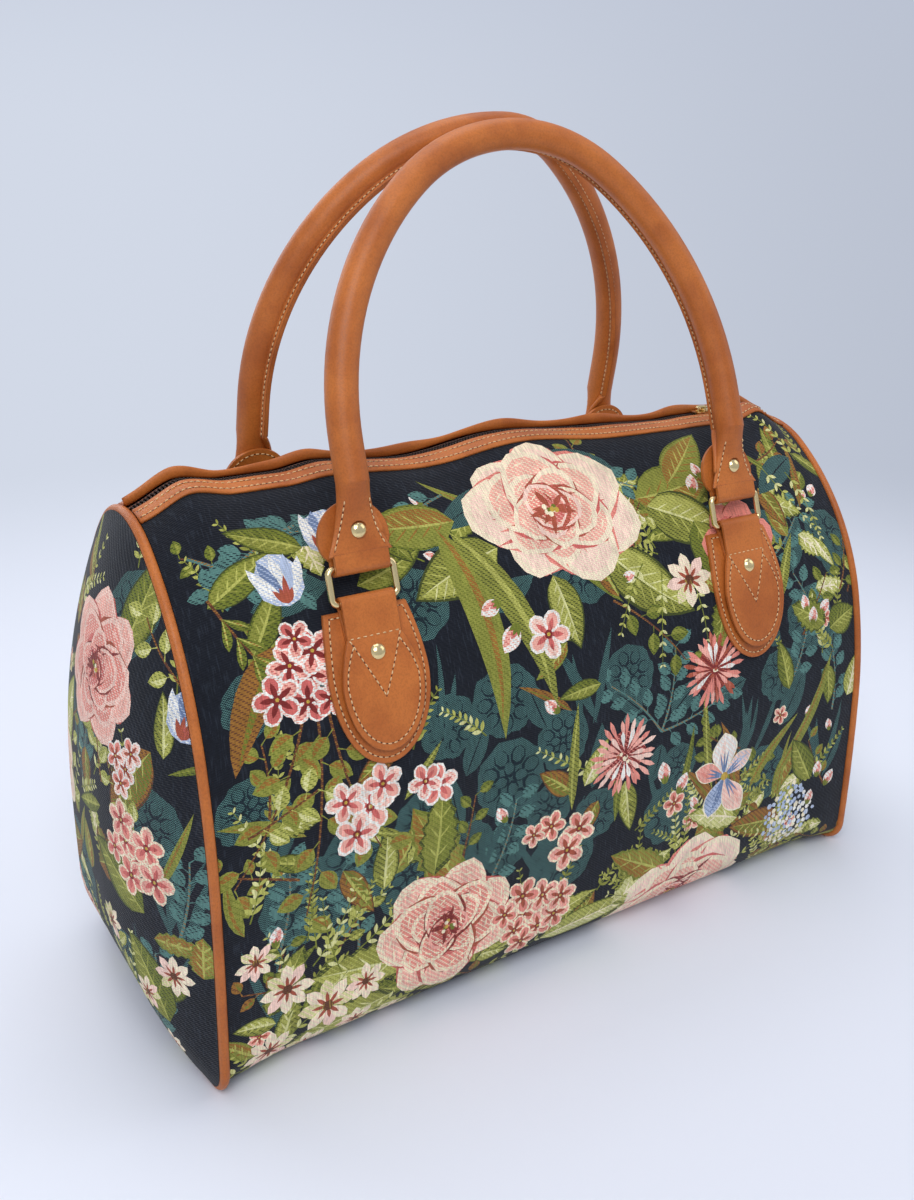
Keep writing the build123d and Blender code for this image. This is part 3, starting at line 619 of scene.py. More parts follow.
def front_planting(p):
    """Planting of the front panel: across is the bag's x and up runs along the wall from the base seam"""
    each(p, shadow_bloom, (
            (-56, 268, 20), (-55, 222, 22), (-178, 190, 24), (-150, 205, 20), (-120, 185, 22), (30, 262, 18),
            (178, 268, 20), (60, 165, 20), (-20, 160, 22), (140, 168, 20), (-205, 250, 16), (205, 320, 18),
            (-100, 330, 20), (10, 330, 20), (120, 330, 24), (-92, 262, 17), (-84, 186, 18), (-20, 236, 17),
            (4, 182, 16), (-60, 180, 15), (-112, 214, 16), (150, 236, 17), (66, 196, 14), (-30, 196, 15),
            (-196, 300, 15)))
    for x, y, angle, length, width in (
            (-84, 232, 60, 34, 14), (-30, 245, 110, 36, 15), (-88, 200, 100, 40, 12), (60, 230, 40, 30, 15),
            (38, 238, 140, 30, 14), (52, 214, 250, 26, 13), (196, 236, 80, 40, 16), (150, 255, 120, 36, 15),
            (-196, 215, 70, 36, 15), (0, 200, 80, 40, 14), (150, 200, 60, 44, 18), (120, 240, 200, 30, 12),
            (-180, 290, 40, 40, 16), (-60, 320, 20, 40, 16), (170, 330, 160, 40, 18), (205, 290, 100, 44, 16),
            (165, 300, 60, 40, 16)):
        shadow_leaf(p, complex(x, y), angle, length, width, p.vary(-20, 20))
    each(p, shadow_spray, (
            (52, 222, 75), (52, 222, 15), (52, 222, 135), (-196, 160, 80), (160, 230, 70), (185, 250, 110),
            (-150, 150, 100), (-70, 160, 70), (200, 200, 95), (150, 310, 40)), 52)
    each(p, shadow_grass, ((-80, 165), (-25, 150), (70, 150), (120, 180), (-190, 120), (190, 150), (0, 240),
                           (-100, 250)), 5, 56)

    # leaves and stems
    for place in (
            (-216, -60, 84, 170, 40), (-60, 216, 82, 130, 34), (60, 216, 130, 200, 22),
            (-216, -110, 180, 300, 26, 0.7), (30, 130, 290, 380, 20), (140, 216, 200, 380, 26),
            (-216, 216, 340, 392, 26)):
        undergrowth(p, *place)
    each(p, shadow_leaf, (
            (-200, 372, -20, 60, 20), (-120, 384, 190, 52, 18), (-96, 350, 150, 50, 18),
            (-186, 344, 10, 46, 16), (-104, 380, -30, 44, 18), (60, 386, 170, 60, 22),
            (-20, 386, 200, 56, 20), (150, 380, -160, 50, 20), (200, 376, -150, 46, 18)), 14)
    each(p, shadow_spray, ((-208, 380, -30), (-150, 386, -150), (-110, 372, 170), (-60, 390, -150),
                           (40, 388, -20)), 56)
    for x, y, angle, length, width in (
            (-206, 352, 30, 44, 16), (-150, 372, 160, 40, 15), (-128, 346, 20, 44, 16),
            (-112, 388, -60, 40, 15), (-190, 322, 60, 38, 14)):
        leaf(p, complex(x, y), angle, length, width, 14, GREENS[p.random.choice((0, 0, 2))])
    for place in ((-216, 216, 20, 84, 44), (-110, 60, 150, 300, 12, 0.8)):
        undergrowth(p, *place)
    for _ in range(30):
        at = complex(p.vary(-216, 216), p.vary(60, 170))
        sprig(p, at, p.vary(30, 150), p.vary(26, 44), p.vary(-25, 25), (MOSS, LIME), 3.6)
    for x, y, angle, length, width, bend in (
            (64, 366, 10, 66, 34, 20), (70, 360, -30, 60, 32, -10), (92, 372, 40, 52, 26, 10),
            (-40, 352, 200, 60, 30, 10), (-60, 372, 175, 58, 26, -10), (30, 338, -40, 70, 32, 20),
            (-10, 330, -80, 44, 20, 0), (100, 345, -70, 50, 26, 10)):
        leaf(p, complex(x, y), angle, length, width, bend, GREENS[p.random.choice((0, 1, 1, 2))], 6)
    each(p, grass, (
            (-74, 372, -84, 128, 20, -22), (-66, 366, -70, 120, 17, -26), (-176, 325, -118, 66, 20, 30),
            (-14, 190, 84, 66, 7, -12), (18, 172, 92, 60, 6, 14), (86, 240, 66, 70, 5, 16),
            (96, 170, 96, 74, 6, -20), (150, 160, 62, 96, 9, 26), (118, 160, 110, 60, 9, 20),
            (128, 160, 48, 60, 8, -20), (100, 156, 130, 44, 9, 16), (64, 160, 78, 62, 6, 12)))
    for x, y, angle, length, width in (
            (-90, 168, 116, 62, 30), (-104, 178, 84, 54, 26), (-118, 132, 170, 60, 30),
            (-128, 112, 190, 64, 28), (-60, 112, 14, 70, 22), (-30, 104, 8, 72, 20), (20, 112, 30, 52, 24),
            (84, 140, 20, 50, 26), (120, 142, 160, 46, 22), (192, 262, 150, 34, 24), (196, 258, 30, 28, 20),
            (-200, 130, 60, 40, 22), (60, 124, 150, 50, 24), (160, 128, 170, 46, 20),
            (186, 150, 120, 40, 18)):
        (lobed_leaf if width > 21 else leaf)(p, complex(x, y), angle, length, width)
    each(p, branch, ((-164, 290, -98, 110, -14), (-158, 288, -74, 84, 24), (-170, 292, -120, 92, -26)),
         8, 10, GREENS[2])
    each(p, branch, ((-206, 236, 20, 40, 20, 5, 9, GREENS[4]), (26, 308, -45, 66, -24, 6, 9, GREENS[0])))
    pods(p, complex(-205, 356), -60, 60, 5)
    each(p, sprig, (
            (66, 318, -100, 56, 12), (84, 322, -84, 58, -12), (98, 318, -66, 54, -22),
            (54, 326, -124, 46, 20), (-176, 150, 60, 50, 30), (-160, 140, 100, 48, -20),
            (-150, 150, 40, 46, 20), (-186, 140, 110, 40, 14), (172, 372, -60, 56, 20),
            (190, 366, -80, 54, -20), (-70, 96, 20, 60, 26), (20, 100, 16, 62, 22), (-196, 108, 40, 52, 20),
            (-150, 96, 24, 60, -18), (170, 110, 160, 50, 20), (-108, 318, -90, 40, 20),
            (-126, 330, -60, 36, 20), (100, 104, 20, 60, 20), (60, 96, 150, 50, 10), (-208, 190, 80, 40, 20)))

    # flowers
    peony(p, complex(4, 368), 50, -8, 0.6, (BRICK, ROSE, SALMON, PINK, BLUSH, CREAM))
    peony(p, complex(-96, 142), 38, 20, 0.96, (WINE, BRICK, ROSE, SALMON, PINK, CREAM))
    peony(p, complex(76, 96), 48, 8, 0.62, (WINE, ROSE, SALMON, PINK, BLUSH, CREAM))
    peony(p, complex(128, 322), 30, 60, 0.7, (WINE, WINE, BRICK, ROSE, SALMON, SALMON))
    fringed(p, complex(24, 214), 25)
    fringed(p, complex(94, 252), 24, (WINE, BRICK, SALMON, PINK, WHITE))
    iris(p, complex(106, 176), 31, 96)
    lace(p, complex(168, 128), 23)
    cluster(p, complex(-38, 128), 22, 10, 10.5, WARM)
    cluster(p, complex(-168, 306), 21, 7, 12, (WINE, WINE, ROSE, PINK, WHITE))
    cluster(p, complex(-146, 232), 18, 4, 12.5, (WINE, ROSE, PINK, BLUSH, WHITE))
    cluster(p, complex(-104, 232), 8, 2, 11, (WINE, ROSE, SALMON, BLUSH, WHITE))
    blossom(p, complex(-22, 298), 14, (WINE, ROSE, PINK, BLUSH, WHITE))
    each(p, blossom, ((-28, 184, 10), (-8, 176, 12), (-16, 164, 13), (-40, 182, 8), (64, 170, 9)), WARM)
    each(p, daisy, (
            (-190, 142, 15), (-168, 122, 17), (-200, 106, 14), (-146, 128, 12), (-178, 92, 15),
            (-150, 100, 12), (-206, 166, 11), (84, 310, 17), (-126, 90, 12)))
    each(p, tulip, ((-166, 344, 96, 26), (-140, 368, 70, 24)))
    each(p, bud, (
            (-48, 322, 200, 15), (-40, 308, 230, 19), (36, 318, 20, 11), (56, 186, 100, 16),
            (66, 176, 60, 15), (-58, 196, 120, 12), (180, 262, 80, 13), (188, 268, 50, 13),
            (176, 272, 100, 12), (192, 150, 90, 13), (200, 142, 60, 14), (186, 130, 80, 12),
            (108, 362, 70, 15), (120, 372, 100, 12), (-196, 170, 80, 12), (84, 160, 120, 11)))


def loose_planting(p, width, low, high):
    """Planting of a panel that the photograph does not show, with the same motifs spread evenly"""
    def place(count, gap, draw):
        spots = []
        for _ in range(count * 30):
            spot = complex(p.vary(-width, width), p.vary(low, high))
            if all(abs(spot - other) > gap for other in spots):
                spots.append(spot)
                draw(spot)
            if len(spots) == count:
                break
        return spots

    area = 2 * width * (high - low) / 1e4
    place(int(area * 1.2), 34, lambda at: shadow_bloom(p, at, p.vary(15, 24)))
    place(int(area * 2.4), 22,
          lambda at: shadow_leaf(p, at, p.vary(0, 360), p.vary(28, 46), p.vary(11, 18), 15))
    place(int(area * 0.9), 40, lambda at: shadow_spray(p, at, p.vary(30, 150), 50))
    place(int(area * 0.7), 40, lambda at: shadow_grass(p, at, 4, 50))
    place(int(area * 1.3), 30, lambda at: leaf(p, at, p.vary(0, 360), p.vary(44, 66), p.vary(20, 32), 15))
    place(int(area * 0.9), 36, lambda at: lobed_leaf(p, at, p.vary(0, 360), p.vary(42, 60), p.vary(22, 30)))
    place(int(area * 1.1), 30, lambda at: grass(p, at, p.vary(60, 120), p.vary(50, 80), p.vary(6, 12), 18))
    place(int(area * 0.5), 50,
          lambda at: branch(p, at, p.vary(-120, -60), 80, p.vary(-24, 24), 8, 9, GREENS[2]))
    undergrowth(p, -width, width, low, high, int(area * 6))
    place(int(area * 1.9), 26, lambda at: sprig(p, at, p.vary(0, 360), p.vary(40, 58), p.vary(-25, 25)))
    big = place(max(2, int(area * 0.36)), 105, lambda at: peony(p, at, p.vary(34, 42), p.vary(0, 360)))

    def clear(draw):
        return lambda at: draw(at) if all(abs(at - other) > 46 for other in big) else None

    place(int(area * 0.35), 60, clear(lambda at: fringed(p, at, 23)))
    place(int(area * 0.6), 46, clear(lambda at: cluster(p, at, 20, 7, 11)))
    place(int(area * 0.6), 40, clear(lambda at: daisy(p, at, p.vary(12, 17))))
    place(max(1, int(area * 0.16)), 80, clear(lambda at: lace(p, at, 21)))
    place(int(area * 0.3), 60, clear(lambda at: tulip(p, at, p.vary(60, 120), 25)))
    place(int(area * 1.2), 30, clear(lambda at: bud(p, at, p.vary(40, 140), p.vary(11, 16))))


# Panels are cut tile by tile, because one cut of a whole panel takes far longer
TILE = 70.0
WELD = 0.004
FLATNESS = 1.6
SLOPE_STEP = 0.4


def as_vectors(places):
    return [Vector((place.real, place.imag)) for place in places]


def cut_tile(pattern, border, boxes, low, high, step):
    """Flat points and triangles of one tile, each triangle with the number of its topmost shape

    The first face is the tile and the second the panel's border, and a triangle is kept where it is in both.
    """
    corners = [complex(*low), complex(high[0], low[1]), complex(*high), complex(low[0], high[1])]
    points = []
    for start, end in zip(corners, corners[1:] + corners[:1]):
        count = math.ceil(abs(end - start) / step)
        points += as_vectors(start + (end - start) * np.arange(count) / count)
    faces, numbers = [list(range(len(points)))], [-1]
    near = np.flatnonzero((boxes[:, 0] < high[0]) & (boxes[:, 1] > low[0])
                          & (boxes[:, 2] < high[1]) & (boxes[:, 3] > low[1]))
    for number in [-1] + near.tolist():
        outline = border if number < 0 else pattern.shapes[number][0]
        faces.append(list(range(len(points), len(points) + len(outline))))
        points += as_vectors(outline)
        numbers.append(number)
    for k, v in enumerate(np.arange(low[1] + step / 2, high[1], step)):
        for u in np.arange(low[0] + step * (0.25 + 0.5 * (k % 2)), high[0], step):
            points.append(Vector((u, v)))
    found, _, triangles, _, _, origins = delaunay_2d_cdt(points, [], faces, 1, 1e-3, True)
    found = np.array([tuple(point) for point in found]).reshape(-1, 2)
    kept = [(tri, origin) for tri, origin in zip(triangles, origins) if 0 in origin and 1 in origin]
    if not kept:
        return found, kept
    tops = np.array([numbers[max(origin)] for _, origin in kept])
    middles = found[np.array([tri for tri, _ in kept])].mean(1)
    strays = np.flatnonzero((tops >= 0) & ~inside(boxes[tops], middles))
    for i in strays:
        held = [numbers[place] for place in kept[i][1]]
        tops[i] = max(n for n in held if n < 0 or inside(boxes[n], middles[i]))
    return found, [(tri, top) for (tri, _), top in zip(kept, tops)]


def inside(box, point):
    u, v = point[..., 0], point[..., 1]
    return (box[..., 0] <= u) & (u <= box[..., 1]) & (box[..., 2] <= v) & (v <= box[..., 3])


def mosaic(name, pattern, border, to_space, step):
    """One mesh cut along the edges of every shape, each face in its topmost shape's threads"""
    boxes = np.array([(z.real.min(), z.real.max(), z.imag.min(), z.imag.max()) for z, *_ in pattern.shapes])
    low = (border.real.min() - 1, border.imag.min() - 1)
    high = (border.real.max() + 1, border.imag.max() + 1)
    columns = np.linspace(low[0], high[0], round((high[0] - low[0]) / TILE) + 1)
    rows = np.linspace(low[1], high[1], round((high[1] - low[1]) / TILE) + 1)
    flat, corners, tops, count = [], [], [], 0
    for left, right in zip(columns, columns[1:]):
        for bottom, top in zip(rows, rows[1:]):
            points, kept = cut_tile(pattern, border, boxes, (left, bottom), (right, top), step)
            flat.append(points)
            corners += [[i + count for i in tri] for tri, _ in kept]
            tops += [number for _, number in kept]
            count += len(points)
    flat = np.concatenate(flat)
    mesh = bpy.data.meshes.new(name)
    mesh.from_pydata((to_space(flat[:, 0], flat[:, 1]) * MM).tolist(), [], corners)
    threads = list(pattern.shapes) + [(None, GROUND, GROUND_LIGHT, PLAIN)]
    for attribute, slot in (("thread_a", 1), ("thread_b", 2)):
        layer = mesh.attributes.new(attribute, "FLOAT_COLOR", "FACE")
        values = [(*threads[top][slot], threads[top][3]) for top in tops]
        layer.data.foreach_set("color", np.array(values, np.float32).ravel())
    uv = mesh.uv_layers.new(name="flat")
    uv.data.foreach_set("uv", (flat[np.array(corners).ravel()] * MM).astype(np.float32).ravel())
    # each shape stands as a material of its own while what it hides or leaves flat is dissolved
    mesh.polygons.foreach_set("material_index", np.array(tops, np.int32) + 1)
    made = bmesh.new()
    made.from_mesh(mesh)
    bmesh.ops.delete(made, geom=[v for v in made.verts if not v.link_faces], context="VERTS")
    bmesh.ops.remove_doubles(made, verts=made.verts, dist=WELD * MM)
    bmesh.ops.dissolve_limit(made, verts=made.verts, edges=made.edges, angle_limit=math.radians(FLATNESS),
                             delimit={"MATERIAL"})
    bmesh.ops.triangulate(made, faces=made.faces)
    made.to_mesh(mesh)
    made.free()
    mesh.polygons.foreach_set("material_index", np.zeros(len(mesh.polygons), np.int32))
    shade_as_surface(mesh, to_space)
    piece = bpy.data.objects.new(name, mesh)
    bpy.context.collection.objects.link(piece)
    return piece


def shade_as_surface(mesh, to_space):
    """Normals of the smooth surface, read at each vertex's flat place"""
    mesh.shade_smooth()
    spots = np.empty(len(mesh.loops) * 2, np.float32)
    mesh.uv_layers["flat"].uv.foreach_get("vector", spots)
    owners = np.empty(len(mesh.loops), np.int32)
    mesh.loops.foreach_get("vertex_index", owners)
    flat = np.zeros((len(mesh.vertices), 2))
    flat[owners] = spots.reshape(-1, 2) / MM
    u, v = flat.T
    along = to_space(u + SLOPE_STEP, v) - to_space(u - SLOPE_STEP, v)
    up = to_space(u, v + SLOPE_STEP) - to_space(u, v - SLOPE_STEP)
    mesh.normals_split_custom_set_from_vertices(unit(np.cross(along, up)).tolist())


# Cloth panels

CLOTH_STEP = 6.5
BASE_SEAM = 0.7
BAND_EDGE = 8.0
SLIDER_X = 162.0
ZIP_TRAVEL = 320.0
TAB_SPACING = 128.0


def panel_border(top_depth):
    """Edge of a wall panel laid flat, anticlockwise from its lower left corner"""
    across = np.linspace(-PANEL_REACH, PANEL_REACH, 83)
    top = run_at_depth(across, top_depth) * WALL_LENGTH
    up = np.linspace(0, 1, 65)[1:-1]
    right = BASE_SEAM + (top[-1] - BASE_SEAM) * up
    left = BASE_SEAM + (top[0] - BASE_SEAM) * up
    return np.concatenate([across + 1j * BASE_SEAM, PANEL_REACH + 1j * right,
                           (across + 1j * top)[::-1], -PANEL_REACH + 1j * left[::-1]])


def smooth(value, low, high):
    """0 below low, 1 above high and an easy slope between them"""
    share = np.clip((value - low) / (high - low), 0, 1)
    return share * share * (3 - 2 * share)


def settle(points):
    """Gentle rise and dip of the top along the zip, with slack folds across the shoulders"""
    x, y = points[..., 0], points[..., 1]
    near_zip = (1 - smooth(np.abs(y), 16, 66)) * smooth(points[..., 2], 180, 260)
    calm = smooth(np.abs(x - SLIDER_X), 14, 40) * smooth(np.abs(x - SLIDER_X + ZIP_TRAVEL), 14, 40)
    calm = calm * near_zip * (1 - smooth(np.abs(x), 196, 220))
    moved = points.copy()
    moved[..., 2] += (2.6 + 3.0 * np.sin(x / 29 + 0.9) + 1.1 * np.sin(x / 16 + 2.1 + y / 30)) * calm
    moved[..., 1] += 2.2 * np.sin(x / 34 + 2.4) * calm
    return moved


def slack(x, v):
    """How far the cloth of a wall sinks between the parts that hold it"""
    tabs = smooth(np.abs(np.abs(x) - TAB_SPACING), 34, 62) + smooth(-v, -205, -180)
    edges = smooth(-np.abs(x), -214, -180) * smooth(v, 70, 130) * smooth(-v, -372, -330)
    folds = 0.55 + 0.3 * np.sin(x / 38 + v / 60 + 1) + 0.15 * np.sin(x / 15 - v / 34)
    return -2.1 * folds * np.clip(tabs, 0, 1) * edges


def front_surface(u, v):
    return settle(wall(u, v / WALL_LENGTH, -1, slack(u, v))[0])


def back_surface(u, v):
    return settle(wall(-u, v / WALL_LENGTH, 1, slack(u + 30, v))[0])


END_OUTLINE = np.array(sample_outline(0.0, 121)[0])
END_RAYS = np.arctan2(END_OUTLINE[:, 1] - WIDEST_HEIGHT, END_OUTLINE[:, 0])
END_RADII = np.hypot(END_OUTLINE[:, 1] - WIDEST_HEIGHT, END_OUTLINE[:, 0])


def end_border():
    half = END_OUTLINE[:, 0] + 1j * END_OUTLINE[:, 1]
    return np.concatenate([half, -half[-2:0:-1].conjugate()])


def end_surface(side):
    """Swollen end: its height over the rim falls away from the middle towards the piping"""
    def place(u, v):
        y, up = u * side, v - WIDEST_HEIGHT
        edge = np.interp(np.arctan2(up, np.abs(y)), END_RAYS, END_RADII)
        size = np.clip(np.hypot(y, up) / edge, 0, 1)
        bulge = END_BULGE * (1 - size**2.5)
        return np.stack([side * (END_RIM + bulge), y, v], -1)
    return place


def make_cloth():
    pattern = Pattern(3)
    front_planting(pattern)
    pieces = [("front_tapestry", pattern, panel_border(BAND_EDGE), front_surface, "front_panel")]
    pattern = Pattern(11)
    loose_planting(pattern, PANEL_REACH, 20, 392)
    pieces.append(("back_tapestry", pattern, panel_border(BAND_EDGE), back_surface, "back_panel"))
    for side, name, seed in ((-1, "left", 21), (1, "right", 22)):
        pattern = Pattern(seed)
        if side < 0:
            left_end_planting(pattern)
        else:
            loose_planting(pattern, END_HALF_DEPTH, 10, END_HEIGHT)
        pieces.append((f"{name}_end_tapestry", pattern, end_border(), end_surface(side), f"{name}_end_panel"))
    for name, pattern, border, surface, node in pieces:
        piece = mosaic(name, pattern, border, surface, CLOTH_STEP)
        piece.data.materials.append(FINISHES["tapestry"])
        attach(piece, "bag")
        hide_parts(node)


# Materials

class Finish:
    """A material and short calls that add its nodes"""

    def __init__(self, name, **sockets):
        self.material = bpy.data.materials.new(name)
        self.material.use_nodes = True
        self.tree = self.material.node_tree
        self.shader = self.tree.nodes["Principled BSDF"]
        for socket, value in sockets.items():
            self.put(self.shader.inputs[socket.replace("_", " ")], value)

    def put(self, socket, value):
        if isinstance(value, bpy.types.NodeSocket):
            self.tree.links.new(value, socket)
        elif isinstance(value, tuple) and socket.type == "RGBA":
            socket.default_value = (*value, 1)
        else:
            socket.default_value = value

    def node(self, kind, inputs=None, **settings):
        made = self.tree.nodes.new("ShaderNode" + kind)
        for key, value in settings.items():
            setattr(made, key, value)
        for key, value in (inputs or {}).items():
            self.put(made.inputs[key], value)
        return made

    def math(self, operation, *values):
        return self.node("Math", dict(enumerate(values)), operation=operation).outputs[0]

    def mix(self, share, first, second, blend="MIX"):
        made = self.node("Mix", None, data_type="RGBA", blend_type=blend)
        for name, value in (("Factor_Float", share), ("A_Color", first), ("B_Color", second)):
            self.put(next(i for i in made.inputs if i.identifier == name), value)
        return next(o for o in made.outputs if o.identifier == "Result_Color")

    def ramp(self, value, low, high, to_low=0.0, to_high=1.0):
        ends = {"Value": value, "From Min": low, "From Max": high, "To Min": to_low, "To Max": to_high}
        return self.node("MapRange", ends, interpolation_type="SMOOTHSTEP").outputs[0]

    def grey(self, value):
        return self.node("CombineColor", {"Red": value, "Green": value, "Blue": value}).outputs[0]

    def place(self):
        return self.node("TexCoord").outputs["Object"]

    def stretch(self, vector, scale):
        return self.node("Mapping", {"Vector": vector, "Scale": scale}).outputs[0]

    def noise(self, vector, size, detail=3.0, roughness=0.55):
        """Noise with blotches of about this size in metres"""
        return self.node("TexNoise", {"Vector": vector, "Scale": 1 / size, "Detail": detail,
                                      "Roughness": roughness}).outputs["Fac"]

    def lines(self, vector, pitch, direction):
        """Soft lines this far apart in metres, 0 to 1 across each"""
        return self.node("TexWave", {"Vector": vector, "Scale": 2 * math.pi / (20 * pitch)},
                         wave_type="BANDS", bands_direction=direction, wave_profile="SIN").outputs["Fac"]

    def bump(self, height, distance, strength=1.0, under=None):
        made = self.node("Bump", {"Height": height, "Distance": distance, "Strength": strength})
        if under:
            self.put(made.inputs["Normal"], under)
        return made.outputs[0]

    def out(self, **sockets):
        for socket, value in sockets.items():
            self.put(self.shader.inputs[socket.replace("_", " ")], value)
        return self.material


THREAD_PITCH = 0.0015
WEFT_PITCH = 0.0012


def tapestry_material():
    """Each patch mixes its two threads in its own weave, with slubs, clouds and a ribbed twill"""
    f = Finish("tapestry", Roughness=0.88, Specular_IOR_Level=0.18, Sheen_Weight=0.12, Sheen_Roughness=0.5)
    flat = f.node("UVMap", uv_map="flat").outputs[0]
    first = f.node("Attribute", attribute_name="thread_a")
    second = f.node("Attribute", attribute_name="thread_b").outputs["Color"]
    weave = first.outputs["Alpha"]
    warp = f.lines(flat, THREAD_PITCH, "X")
    weft = f.lines(flat, WEFT_PITCH, "Y")
    slub = f.noise(f.stretch(flat, (1, 0.12, 1)), 0.0011, 1)
    twill = f.lines(flat, THREAD_PITCH * 1.1, "DIAGONAL")
    satin = f.ramp(f.math("MULTIPLY_ADD", twill, 0.6, f.math("MULTIPLY", weft, 0.5)), 0.66, 0.86)
    check = f.ramp(f.math("MULTIPLY", f.math("ABSOLUTE", f.math("SUBTRACT", warp, weft)), 1.3), 0.2, 0.5)
    speckle = f.math("MULTIPLY", f.ramp(slub, 0.56, 0.66), 0.6)
    is_satin = f.math("COMPARE", weave, SATIN, 0.2)
    is_check = f.math("GREATER_THAN", weave, (SATIN + CHECK) / 2)
    share = f.math("MULTIPLY", satin, is_satin)
    share = f.math("MULTIPLY_ADD", check, is_check, share)
    plain = f.math("SUBTRACT", 1.0, f.math("ADD", is_satin, is_check))
    share = f.math("MULTIPLY_ADD", speckle, plain, share)
    colour = f.mix(share, first.outputs["Color"], second)
    streak = f.noise(f.stretch(flat, (1, 0.08, 1)), 0.0007, 2)
    cloud = f.noise(flat, 0.018, 3)
    shade = f.ramp(f.math("ADD", streak, f.math("MULTIPLY", cloud, 0.5)), 0.45, 1.05, 0.72, 1.22)
    colour = f.mix(1.0, colour, f.grey(shade), "MULTIPLY")
    height = f.math("ADD", f.math("MULTIPLY", twill, 0.7), weft)
    return f.out(Base_Color=colour, Normal=f.bump(height, 0.00025, 0.7))


TAN = linear(190, 108, 46)
TAN_DEEP = linear(166, 88, 34)
TAN_EDGE = linear(126, 70, 34)


def leather_material():
    """Tan leather with pores and soft creases, darker along its cut edges"""
    f = Finish("tan_leather", Specular_IOR_Level=0.36, Coat_Weight=0.04, Coat_Roughness=0.35)
    at = f.place()
    patches = f.ramp(f.noise(at, 0.035, 4), 0.35, 0.68)
    colour = f.mix(patches, TAN, TAN_DEEP)
    pores = f.noise(at, 0.0011, 4, 0.6)
    creases = f.noise(f.stretch(at, (1, 1, 0.35)), 0.006, 5, 0.62)
    fine = f.ramp(pores, 0.3, 0.62, 0.86, 1.06)
    colour = f.mix(1.0, colour, f.grey(fine), "MULTIPLY")
    rounded_normal = f.node("Bevel", {"Radius": 0.0009}, samples=4).outputs[0]
    true_normal = f.node("NewGeometry").outputs["Normal"]
    facing = f.node("VectorMath", {0: rounded_normal, 1: true_normal}, operation="DOT_PRODUCT")
    edge = f.ramp(facing.outputs["Value"], 0.97, 0.8)
    colour = f.mix(f.math("MULTIPLY", edge, 0.75), colour, TAN_EDGE)
    rough = f.ramp(pores, 0.3, 0.7, 0.4, 0.54)
    soft = f.bump(pores, 0.00022, 0.5, f.bump(creases, 0.0008, 0.35, rounded_normal))
    return f.out(Base_Color=colour, Roughness=rough, Normal=soft)


def brass_material():
    f = Finish("pale_gold", Base_Color=linear(232, 208, 152), Metallic=1.0)
    at = f.place()
    scratches = f.noise(f.stretch(at, (1, 1, 0.2)), 0.0006, 3)
    dents = f.noise(at, 0.004, 2)
    return f.out(Roughness=f.ramp(scratches, 0.3, 0.7, 0.12, 0.26), Normal=f.bump(dents, 0.0001, 0.2))


def cloth_material(name, colour, light, pitch):
    """Plain weave with crossing threads this far apart in metres, the lighter colour a painted highlight on
    the thread crossings
    """
    f = Finish(name, Roughness=0.85, Specular_IOR_Level=0.2)
    at = f.place()
    weave = f.math("MULTIPLY", f.lines(at, pitch, "X"), f.lines(at, pitch, "Y"))
    # the lighter colour where the threads cross is a painted highlight on their raised crowns
    highlighted = f.mix(f.math("MULTIPLY", weave, 0.7), colour, light)
    cloud = f.ramp(f.noise(at, 0.02, 3), 0.3, 0.7)
    clouded = f.mix(f.math("MULTIPLY", cloud, 0.4), highlighted, colour)
    return f.out(Base_Color=clouded, Normal=f.bump(weave, pitch / 4, 0.6))


def thread_material(name, colour, shadow):
    f = Finish(name, Roughness=0.62, Specular_IOR_Level=0.3, Sheen_Weight=0.15)
    at = f.place()
    ply = f.noise(at, 0.0006, 2)
    return f.out(Base_Color=f.mix(f.ramp(ply, 0.4, 0.7), colour, shadow), Normal=f.bump(ply, 0.0001, 0.5))


# One material for each slot of the record
FINISHES = {
    "tan_leather": leather_material(),
    "pale_gold": brass_material(),
    "tapestry": tapestry_material(),
    # The second colour of each cloth is the painted highlight on its thread crossings
    "lining_cloth": cloth_material("lining_cloth", linear(70, 60, 52), linear(96, 84, 72), 0.0007),
    "base_stiffener": cloth_material("base_stiffener", linear(60, 56, 54), linear(84, 80, 76), 0.001),
    "zip_tape": cloth_material("zip_tape", linear(120, 78, 62), linear(160, 112, 92), 0.0008),
    "zip_coil": thread_material("zip_coil", linear(58, 40, 34), linear(30, 22, 20)),
    "handle_filling": cloth_material("handle_filling", linear(214, 206, 190), linear(236, 230, 216), 0.0012),
}
THREAD = thread_material("cream_thread", linear(226, 196, 150), linear(190, 150, 100))
# Needle holes are not cut: dark marks over the leather are their painted shade
HOLE_SHADE = thread_material("hole_shade", linear(84, 46, 28), linear(60, 32, 20))


# Leather, zip and sewing details

LEATHER_TOP = 2.0
BAND_TOP = 1.7
STRAP_TOP = 5.6
STITCH_PITCH = 3.3
STITCH_LENGTH = 2.15
BAND_SEAMS = ((9.4, BAND_TOP - 0.25), (15.6, BAND_TOP + 0.05))
THREAD_RADIUS = 0.34
HEIGHT_RUNS = np.linspace(0.3, 1, 400)
MIDDLE_HEIGHTS = outline_point(np.zeros(400), HEIGHT_RUNS)[:, 1]


def make_piece(name, points, faces, material, body, replaced=()):
    """Mesh piece from points in millimetres"""
    mesh = bpy.data.meshes.new(name)
    mesh.from_pydata((np.asarray(points) * MM).tolist(), [], [list(map(int, face)) for face in faces])
    mesh.shade_smooth()
    mesh.materials.append(material)
    piece = bpy.data.objects.new(name, mesh)
    bpy.context.collection.objects.link(piece)
    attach(piece, body)
    if replaced:
        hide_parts(*replaced)
    return piece


def rings(points):
    """Points and faces of a closed skin over rows of points, each row one closed loop"""
    rows, count = points.shape[:2]
    grid = np.arange(rows * count).reshape(rows, count)
    faces = []
    for i in range(rows - 1):
        for k in range(count):
            after = (k + 1) % count
            faces.append((grid[i, k], grid[i, after], grid[i + 1, after], grid[i + 1, k]))
    faces += [tuple(grid[0, ::-1]), tuple(grid[-1])]
    return points.reshape(-1, 3), faces


